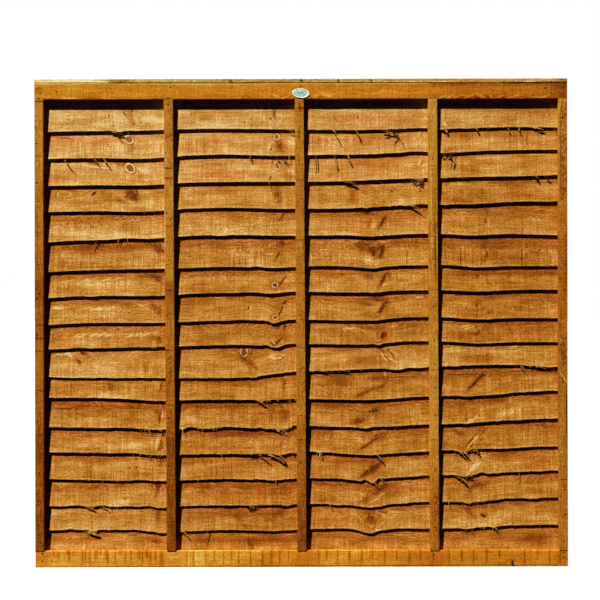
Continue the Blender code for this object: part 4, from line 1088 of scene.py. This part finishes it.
def add_knots(paints, board, col, row):
    """Paints the distances from a board's nearest knot, in knot radii."""
    nearest = np.full(col.shape, KNOT_REACH)
    for px, py, rx, ry, turn, kind in KNOTS.get(board, ()):
        c, s = math.cos(math.radians(turn)), math.sin(math.radians(turn))
        dx, dy = col - px, row - py
        u, w = (dx * c + dy * s) / rx, (dy * c - dx * s) / ry
        far = np.hypot(u, w)
        here = far < nearest
        nearest = np.where(here, far, nearest)
        paints["knot"][here] = np.stack([u, w, np.clip((KNOT_REACH - far) / 0.8, 0, 1)], -1)[here]
        rim, heart = KNOT_KINDS[kind]
        paints["knot_look"][here] = (rim, heart, -ry * PIXEL / MM)
        if kind == "red":
            paints["finish"][..., 1] += 0.6 * np.exp(-far ** 2)


def board_lines(node):
    """A CAD board's lower edge, as x and z, the two ends of its head, and its front face's plane."""
    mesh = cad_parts[node].data
    corners = np.array([v.co for v in mesh.vertices])
    facing = sorted({i for face in mesh.polygons if face.normal.y < -0.9 for i in face.vertices})
    front = corners[facing]
    terms = np.c_[np.ones(len(front)), front[:, 0], front[:, 2]]
    plane = np.linalg.lstsq(terms, front[:, 1], rcond=None)[0]
    places = np.round(corners[:, 0], 4)
    ends = (places.min(), places.max())
    head = [corners[places == x][:, 2].max() for x in ends]
    known, lows = [], []
    for x in np.unique(places):
        low = corners[places == x][:, 2].min()
        if low < np.interp(x, ends, head) - 60 * MM:
            known.append(x)
            lows.append(low)
    return np.array(known), np.array(lows), head, plane


def add_board(number):
    """One lapped board with its torn waney edge, on the lines of its CAD node."""
    node = f"board_{number:02d}"
    tone, red, upper_band_darkening, rings, saw, flakes, ragged, lean_back = BOARD_LOOKS[number]
    known, lows, heads, (front_at, front_slope, lean) = board_lines(node)
    xs = np.linspace(known[0], known[-1], int((known[-1] - known[0]) / BOARD_STEP))
    low = smooth_line(xs, known, lows)
    head = np.interp(xs, (known[0], known[-1]), heads)
    face = front_at + front_slope * xs
    columns = PICTURE / 2 + (xs - CAMERA_X) / PIXEL
    if number < LOWEST_BOARD:
        sag = 1.0 if number < LESS_SAG_FROM else LESS_SAG
        low = low - np.interp(columns, *zip(*EDGE_SAG)) * PIXEL * sag
        for px, half, drop in EDGE_BENDS.get(number, ()):
            low = low - drop * PIXEL * np.exp(-np.abs((columns - px) / half) ** 3)
    ragged_line = (wobble(xs, 24 * MM, number) + 0.8 * wobble(xs, 9 * MM, number + 50)
                   + 0.7 * wobble(xs, 4 * MM, number + 90)) * 0.5 * ragged * MM
    edge = low + ragged_line
    board_edges[number] = (xs, edge, face + edge * lean)
    rise = head - edge
    # Rows of the face by their height over the edge in mm, close together at the worn arris
    front_rows = [1.3, 2.8, 5, 9] + list(np.linspace(14, 112, 18))
    front_rows = [h for h in front_rows if h < rise.min() / MM - 8]

    def surface(h, behind=0.0):
        """A row of the front face at a height over the edge in mm, or that far behind it."""
        z = edge + h * MM if h is not None else head
        share = np.clip((z - edge) / (85 * MM), 0, 1.3)
        back = lean_back * MM * share if not behind or lean_back < 0 else 0
        return z, face + z * lean + back + behind

    points = [surface(None)]
    points += [surface(h) for h in front_rows[::-1]]
    points.append((edge, face + edge * lean + 1.3 * MM))
    points.append((edge + 1.2 * MM, face + edge * lean + 0.6 * BOARD_THICK))
    points += [surface(h, BOARD_THICK) for h in (2.6, 30, 75)]
    points.append(surface(None, BOARD_THICK))
    size = len(points)
    z = np.array([p[0] for p in points]).T
    y = np.array([p[1] for p in points]).T
    x = np.repeat(xs[:, None], size, axis=1)
    up = (z - low[:, None]) / MM

    # Every board is cut from its own place in the log
    grain = np.stack([x / MM + number * 2600, up - 60 + 37 * (number % 3), (y - EDGE_Y) / MM + 55], -1)
    paints = new_paints(grain, tone, red, rings, saw)
    col, row = picture_place(x, y, z)
    for px, py, half_x, half_y, change, redder in WASHES:
        share = np.exp(-((col - px) / half_x) ** 2 - ((row - py) / half_y) ** 2)
        paints["finish"] += share[..., None] * (change, redder, 0)
    # Darker and redder towards the top of the exposed face, under the lap above, with stronger rings,
    # fainter saw marks and more flakes
    upper = np.clip((up - 50 - 8 * wobble(xs, 70 * MM, number + 7)[:, None]) / 22, 0, 1)
    paints["finish"] += upper[..., None] * (-upper_band_darkening, 3.0 * upper_band_darkening, 0)
    paints["texture"][..., 0] *= 0.5 + 1.3 * upper
    paints["texture"][..., 1] *= 1.35 - 0.85 * upper
    paints["texture"][..., 2] += flakes * (0.5 + 0.5 * upper)

    # Along the lower arris a pale band of painted highlight, and at the very edge a dark band, partly bark
    # and partly painted shade that widens the lap's shadow
    bark_and_shade_width = 1.0 + 0.8 * wobble(xs, 13 * MM, number + 30)[:, None]
    edge_tint = 0.09 * np.exp(-((up - 4.5) / 2.6) ** 2) - 0.55 * np.clip(1.4 - up / bark_and_shade_width, 0, 1)
    paints["finish"] += edge_tint[..., None] * (1, -0.3, 0)
    add_marks(paints, number, col, row)
    add_knots(paints, number, col, row)
    make_piece(f"lap_board_{number:02d}", np.stack([x, y, z], -1).reshape(-1, 3), skin_rings(len(xs), size),
               BOARD_WOOD, "board_wood", node, paints=paints)


def bar_ends(node, axis):
    """Lowest and highest corners of a bar's two ends, low end first."""
    corners = np.array([v.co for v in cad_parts[node].data.vertices])
    run = corners[:, axis]
    ends = []
    for near in (run < run.min() + 1.5 * MM, run > run.max() - 1.5 * MM):
        ends.append((corners[near].min(0), corners[near].max(0)))
    return ends


def add_bar(name, node, tones, axis, step, material, slot, seed, rings, saw):
    """A sawn bar along x (axis 0) or z (axis 2) on the lines of its CAD node, with worn arrises."""
    (low_a, high_a), (low_b, high_b) = bar_ends(node, axis)
    other = 2 if axis == 0 else 0
    start, end = low_a[axis], high_b[axis]
    runs = np.linspace(start, end, max(int((end - start) / step), 2))
    t = (runs - start) / (end - start)
    low_o = low_a[other] + (low_b[other] - low_a[other]) * t
    high_o = high_a[other] + (high_b[other] - high_a[other]) * t
    front, back = low_a[1], high_a[1]
    wide = high_o[0] - low_o[0]
    across = max(int(wide / BAR_ACROSS), 3)
    deep = max(int((back - front) / BAR_DEEP), 2)
    wear = 0.9 + 0.5 * wobble(runs - start, 30 * MM, seed) + 0.3 * wobble(runs - start, 8 * MM, seed + 1)
    wear = np.clip(wear, 0.4, 2.0) * MM
    corners = ((low_o, front), (high_o, front), (high_o, back), (low_o, back))
    counts = (across, deep, max(across // 2, 2), deep)
    points = []
    for i, count in enumerate(counts):
        corner_wear = wear if i % 2 else wear[::-1]
        a, b = corners[i], corners[(i + 1) % 4]
        for k in range(count + 1):
            f = k / count
            o = a[0] + (b[0] - a[0]) * f
            d = a[1] + (b[1] - a[1]) * f
            if k in (0, count):
                inward = corner_wear * (1 if k == 0 else -1) * (1 if i < 2 else -1)
                o, d = (o + inward, d) if i % 2 == 0 else (o, d + inward)
            points.append((o + 0 * t, d + 0 * t))
    o = np.array([p[0] for p in points]).T
    y = np.array([p[1] for p in points]).T
    size = len(points)
    run = np.repeat(runs[:, None], size, axis=1)
    x, z = (run, o) if axis == 0 else (o, run)
    middle = (low_o[:, None] + high_o[:, None]) / 2
    grain = np.stack([run / MM + seed * 2300, (o - middle) / MM + 18 * math.sin(seed),
                      (y - front) / MM + 24], -1)
    col, row = picture_place(x, y, z)
    places, tone, red = zip(*BAR_TONES[tones])
    along = col if axis == 0 else row
    paints = new_paints(grain, np.interp(along, places, tone), np.interp(along, places, red), rings, saw)
    if not node.startswith("rear"):
        add_marks(paints, node, col, row)
    make_piece(name, np.stack([x, y, z], -1).reshape(-1, 3), skin_rings(len(runs), size),
               material, slot, node, paints=paints)


def grow(name, places, lines, girths, tree, sizes):
    """Runs a geometry tree over plain points or lines, and keeps the result as a plain piece."""
    mesh = bpy.data.meshes.new(name + "_lines")
    mesh.from_pydata([tuple(p) for p in places], lines, [])
    layer = mesh.attributes.new("girth", "FLOAT", "POINT")
    layer.data.foreach_set("value", np.asarray(girths, np.float32))
    holder = bpy.data.objects.new(name + "_lines", mesh)
    bpy.context.scene.collection.objects.link(holder)
    growth = holder.modifiers.new("growth", "NODES")
    growth.node_group = tree
    for socket in tree.interface.items_tree:
        if socket.in_out == "INPUT" and socket.name in sizes:
            growth[socket.identifier] = sizes[socket.name]
    graph = bpy.context.evaluated_depsgraph_get()
    grown = bpy.data.meshes.new_from_object(holder.evaluated_get(graph))
    bpy.data.objects.remove(holder)
    grown.name = name
    piece = bpy.data.objects.new(name, grown)
    bpy.context.scene.collection.objects.link(piece)
    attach(piece, "root")


def start_tree(name, inputs):
    """A geometry tree with its named inputs, and its first node."""
    tree = bpy.data.node_groups.new(name, "GeometryNodeTree")
    tree.interface.new_socket("Geometry", in_out="INPUT", socket_type="NodeSocketGeometry")
    for label, kind, value in inputs:
        socket = tree.interface.new_socket(label, in_out="INPUT", socket_type=kind)
        socket.default_value = value
    tree.interface.new_socket("Geometry", in_out="OUTPUT", socket_type="NodeSocketGeometry")
    return tree, tree.nodes.new("NodeGroupInput")


def nail_tree(material):
    """Domed nail heads on points, each a little different in size."""
    tree, given = start_tree("nail_heads", (("Head radius", "NodeSocketFloat", 2.5 * MM),
                                            ("Head height", "NodeSocketFloat", 0.7 * MM),
                                            ("Seed", "NodeSocketInt", 1)))
    ball = add_node(tree, "GeometryNodeMeshUVSphere", Segments=12, Rings=6, Radius=1.0)
    wide, tall = given.outputs["Head radius"], given.outputs["Head height"]
    squeeze = add_node(tree, "ShaderNodeCombineXYZ", X=wide, Y=tall, Z=wide)
    upright = add_node(tree, "GeometryNodeTransform", Geometry=ball, Rotation=(math.radians(90), 0, 0))
    head = add_node(tree, "GeometryNodeTransform", Geometry=upright, Scale=squeeze)
    smooth = add_node(tree, "GeometryNodeSetShadeSmooth", Geometry=head)
    vary = add_node(tree, "FunctionNodeRandomValue", i2=0.85, i3=1.2, Seed=given.outputs["Seed"])
    heads = add_node(tree, "GeometryNodeInstanceOnPoints", Points=given.outputs["Geometry"],
                     Instance=smooth, Scale=vary.outputs[1])
    whole = add_node(tree, "GeometryNodeRealizeInstances", Geometry=heads)
    finished = add_node(tree, "GeometryNodeSetMaterial", Geometry=whole, Material=material)
    add_node(tree, "NodeGroupOutput", Geometry=finished)
    return tree


def splinter_tree(material):
    """Flat tapering slivers along lines, uneven along their length."""
    tree, given = start_tree("torn_slivers", (("Half width", "NodeSocketFloat", 2.4 * MM),
                                              ("Flatness", "NodeSocketFloat", 0.85),
                                              ("Crook", "NodeSocketFloat", 0.35 * MM),
                                              ("Seed", "NodeSocketInt", 4)))
    lines = add_node(tree, "GeometryNodeMeshToCurve", Mesh=given.outputs["Geometry"])
    ring = add_node(tree, "GeometryNodeCurvePrimitiveCircle", Resolution=6,
                    Radius=given.outputs["Half width"])
    flat = add_node(tree, "GeometryNodeTransform", Geometry=ring.outputs["Curve"], Scale=add_node(
        tree, "ShaderNodeCombineXYZ", X=1.0, Y=given.outputs["Flatness"], Z=1.0))
    girth = add_node(tree, "GeometryNodeInputNamedAttribute", Name="girth")
    slivers = add_node(tree, "GeometryNodeCurveToMesh", Curve=lines, Profile_Curve=flat,
                       Scale=girth.outputs["Attribute"], Fill_Caps=True)
    shake = add_node(tree, "FunctionNodeRandomValue", {"data_type": "FLOAT_VECTOR"},
                     i0=(-1, -1, -1), i1=(1, 1, 1), Seed=given.outputs["Seed"])
    offset = add_node(tree, "ShaderNodeVectorMath", {"operation": "SCALE"},
                      i0=shake.outputs[0], Scale=given.outputs["Crook"])
    crooked = add_node(tree, "GeometryNodeSetPosition", Geometry=slivers, Offset=offset)
    whole = add_node(tree, "GeometryNodeRealizeInstances", Geometry=crooked)
    finished = add_node(tree, "GeometryNodeSetMaterial", Geometry=whole, Material=material)
    add_node(tree, "NodeGroupOutput", Geometry=finished)
    return tree


def make_sliver_wood():
    """Torn softwood fibre: bare and straw coloured where fresh, dark where bark is left on."""
    material, tree = new_material("torn_softwood_fibre")
    places = add_node(tree, "ShaderNodeTexCoord").outputs["Object"]
    strands = add_node(tree, "ShaderNodeTexNoise", Vector=places, Scale=70.0, Detail=2.0)
    ramp = add_node(tree, "ShaderNodeValToRGB", Fac=strands)
    set_stops(ramp, (0.34, 0.68, 1.0), ("30190A", "C08A46", "FFFFFF"))
    fine = add_node(tree, "ShaderNodeTexNoise", Vector=places, Scale=900.0, Detail=1.0)
    bump = add_node(tree, "ShaderNodeBump", Height=fine, Distance=0.3 * MM)
    surface = add_node(tree, "ShaderNodeBsdfPrincipled", Base_Color=ramp.outputs["Color"], Roughness=0.9,
                       Specular_IOR_Level=0.02, Normal=bump)
    add_node(tree, "ShaderNodeOutputMaterial", Surface=surface)
    return material


def make_nail_steel():
    """Steel wire nails, rusted dark brown by the weather, rough and hardly shining."""
    material, tree = new_material("rusted_wire_nail_steel")
    places = add_node(tree, "ShaderNodeTexCoord").outputs["Object"]
    rust = add_node(tree, "ShaderNodeTexNoise", Vector=places, Scale=600.0, Detail=3.0)
    ramp = add_node(tree, "ShaderNodeValToRGB", Fac=rust)
    set_stops(ramp, (0.35, 0.65), ("120A05", "2E170B"))
    bump = add_node(tree, "ShaderNodeBump", Height=rust, Distance=0.2 * MM)
    surface = add_node(tree, "ShaderNodeBsdfPrincipled", Base_Color=ramp.outputs["Color"], Roughness=0.9,
                       Specular_IOR_Level=0.03, Normal=bump)
    add_node(tree, "ShaderNodeOutputMaterial", Surface=surface)
    return material


def make_plate_metal():
    """Pressed aluminium with a pale green lacquer, worn bright and creamy along its rim."""
    material, tree = new_material("pressed_lacquered_aluminium")
    places = add_node(tree, "ShaderNodeTexCoord").outputs["Object"]
    patches = add_node(tree, "ShaderNodeTexNoise", Vector=places, Scale=120.0, Detail=2.0)
    share = add_node(tree, "ShaderNodeMapRange", Value=patches.outputs["Fac"], From_Min=0.38, From_Max=0.62)
    field = add_node(tree, "ShaderNodeMix", COLOURS, i0=share,
                     i6=linear("6C9790"), i7=linear("A0C9BD"))
    edge_tint = add_node(tree, "ShaderNodeAttribute", {"attribute_name": "edge_tint"})
    colour = add_node(tree, "ShaderNodeMix", COLOURS, i0=edge_tint.outputs["Fac"],
                      i6=field.outputs[2], i7=linear("DEE4CC"))
    bump = add_node(tree, "ShaderNodeBump", Height=patches, Distance=1.2 * MM)
    surface = add_node(tree, "ShaderNodeBsdfPrincipled", Base_Color=colour.outputs[2], Roughness=0.5,
                       Metallic=0.25, Normal=bump)
    add_node(tree, "ShaderNodeOutputMaterial", Surface=surface)
    return material


def strand(board, start, tip, out, girth, bend, count=6):
    """Places and girths along one sliver, from a board's edge to its tip in front of it."""
    xs, edge, face = board_edges[board]
    x0 = across_at(start[0], EDGE_Y)
    z0 = np.interp(x0, xs, edge) + 1.6 * MM
    y0 = np.interp(x0, xs, face) + 1.0 * MM
    y1 = max(y0 - out * MM, SPLINTER_FRONT)
    x1, z1 = across_at(tip[0], y1), height_at(tip[1], y1)
    spots, girths = [], []
    for i in range(count):
        t = i / (count - 1)
        lift = bend * math.sin(math.pi * t) * MM
        spots.append((x0 + (x1 - x0) * t ** 0.8, y0 + (y1 - y0) * t, z0 + (z1 - z0) * t ** 1.3 + lift))
        girths.append(girth * (0.4 + 0.55 * t - 0.35 * t ** 8) * (0.8 + 0.2 * math.sin(3 * t + bend)))
    return spots, girths


def add_splinters():
    """All the torn wood at the boards' lower edges, as one piece."""
    draw = np.random.default_rng(2024)
    places, lines, girths = [], [], []

    def keep(made):
        first = len(places)
        places.extend(made[0])
        girths.extend(made[1])
        lines.extend((first + i, first + i + 1) for i in range(len(made[0]) - 1))

    for board, x0, y0, x1, y1, out, strands in SPLINTERS:
        for k in range(strands):
            shift = draw.uniform(-1.6, 1.6) if k else 0.0
            fall = draw.uniform(-1.2, 1.2) if k else 0.0
            reach = draw.uniform(0.5, 1.0) if k else 1.0
            tip = (x0 + shift + (x1 - x0) * reach + 0.4 * fall, y1 + fall)
            girth, bend = draw.uniform(0.8, 1.25), draw.uniform(0.2, 1.6)
            keep(strand(board, (x0 + shift, y0), tip, out * reach, girth, bend))
    for board, girth, points in STRIPS:
        xs, edge, face = board_edges[board]
        spots = []
        for px, py, out in points:
            y = max(np.interp(across_at(px, EDGE_Y), xs, face) - out * MM, SPLINTER_FRONT)
            spots.append((across_at(px, y), y, height_at(py, y)))
        keep((spots, np.linspace(girth, 0.75 * girth, len(spots))))
    for board, left, right, count in FRINGES:
        for _ in range(count):
            px = draw.uniform(left, right)
            xs, edge, face = board_edges[board]
            py = PICTURE / 2 - (np.interp(across_at(px, EDGE_Y), xs, edge) - CAMERA_Z) / PIXEL
            tip = (px + draw.uniform(-1.5, 2.6), py + draw.uniform(-0.6, 2.2))
            keep(strand(board, (px, py), tip, draw.uniform(0.5, 6.0), draw.uniform(0.2, 0.5), 0.3, 4))
    grow("torn_splinters", places, lines, girths, splinter_tree(make_sliver_wood()), {"Seed": 7})


def add_nails():
    """Nail heads on the front timbers, and their like at the same heights on the back."""
    places = []
    for bar, heads in NAILS.items():
        low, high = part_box(bar)
        _, rear_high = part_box(f"rear_{bar}")
        for px, py in heads:
            x = min(max(across_at(px, low[1]), low[0] + NAIL_MARGIN), high[0] - NAIL_MARGIN)
            z = min(max(height_at(py, low[1]), low[2] + NAIL_MARGIN), high[2] - NAIL_MARGIN)
            places.append((x, low[1] - 0.1 * MM, z))
            if py > 100 or "rail" in bar:
                rear_z = z - 9 * MM if low[2] + 14 * MM < z else z
                places.append((x + 3 * MM, rear_high[1] + 0.1 * MM, rear_z))
    grow("round_nail_heads", places, [], [1.0] * len(places), nail_tree(make_nail_steel()), {"Seed": 3})


def add_plate():
    """The bare oval plate: pressed sheet with a raised rim, rolled over at its edge."""
    low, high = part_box("oval_plate")
    middle = ((low[0] + high[0]) / 2, (low[2] + high[2]) / 2)
    half_x, half_z = 29.5 * MM, 16.5 * MM
    back = high[1] - 0.05 * MM
    turn = math.radians(-4)
    # From the back of the rim to the middle: share of the half width, height in mm, wear
    profile = ((0.97, 0.0, 1.0), (1.0, 0.5, 1.0), (0.99, 1.2, 1.0), (0.955, 1.75, 1.0),
               (0.91, 1.85, 1.0), (0.865, 1.55, 0.8), (0.82, 1.0, 0.1), (0.76, 0.85, 0.0),
               (0.66, 1.05, 0.12), (0.52, 1.3, 0.2), (0.36, 1.35, 0.05), (0.18, 1.2, 0.0))
    sides = 72
    points, edge_tint = [], []
    for share, height, wear in profile:
        for k in range(sides):
            angle = 2 * math.pi * k / sides
            u, w = half_x * share * math.cos(angle), half_z * share * math.sin(angle)
            points.append((middle[0] + u * math.cos(turn) - w * math.sin(turn), back - height * MM,
                           middle[1] + u * math.sin(turn) + w * math.cos(turn)))
            edge_tint.append((wear, wear, wear))
    faces = skin_rings(len(profile), sides)
    make_piece("pressed_oval_plate", points, faces, make_plate_metal(), "plate_metal", "oval_plate",
               paints={"edge_tint": edge_tint}, sharp=60)


# This view transform keeps colours as they are written
bpy.context.scene.view_settings.view_transform = "Standard"

make_camera()
make_lights()
make_floor()

for board in BOARD_LOOKS:
    add_board(board)

# Timbers of the frame, front and rear, the rear ones with points farther apart
for seed, bar in enumerate(("left_stile", "batten_1", "batten_2", "batten_3", "right_stile"), 3):
    for node, step, seed_here in ((bar, 4.5, seed), (f"rear_{bar}", 9, seed + 20)):
        add_bar(f"sawn_{node}", node, bar, 2, step * MM, UPRIGHT_WOOD, "batten_wood", seed_here, 0.25, 0.8)
for bar, node, step, seed, rings, saw in (("top_rail", "top_rail", 4, 31, 0.12, 1.0),
                                          ("top_rail", "rear_top_rail", 9, 32, 0.12, 1.0),
                                          ("bottom_rail", "bottom_rail", 3.3, 33, 0.1, 0.8),
                                          ("bottom_rail", "rear_bottom_rail", 9, 34, 0.1, 1.1)):
    add_bar(f"sawn_{node}", node, bar, 0, step * MM, RAIL_WOOD, "rail_wood", seed, rings, saw)
add_bar("sawn_capping", "capping_strip", "capping_strip", 0, 3.3 * MM, CAP_WOOD, "cap_wood", 35, 0.3, 0.5)
add_splinters()
add_nails()
add_plate()
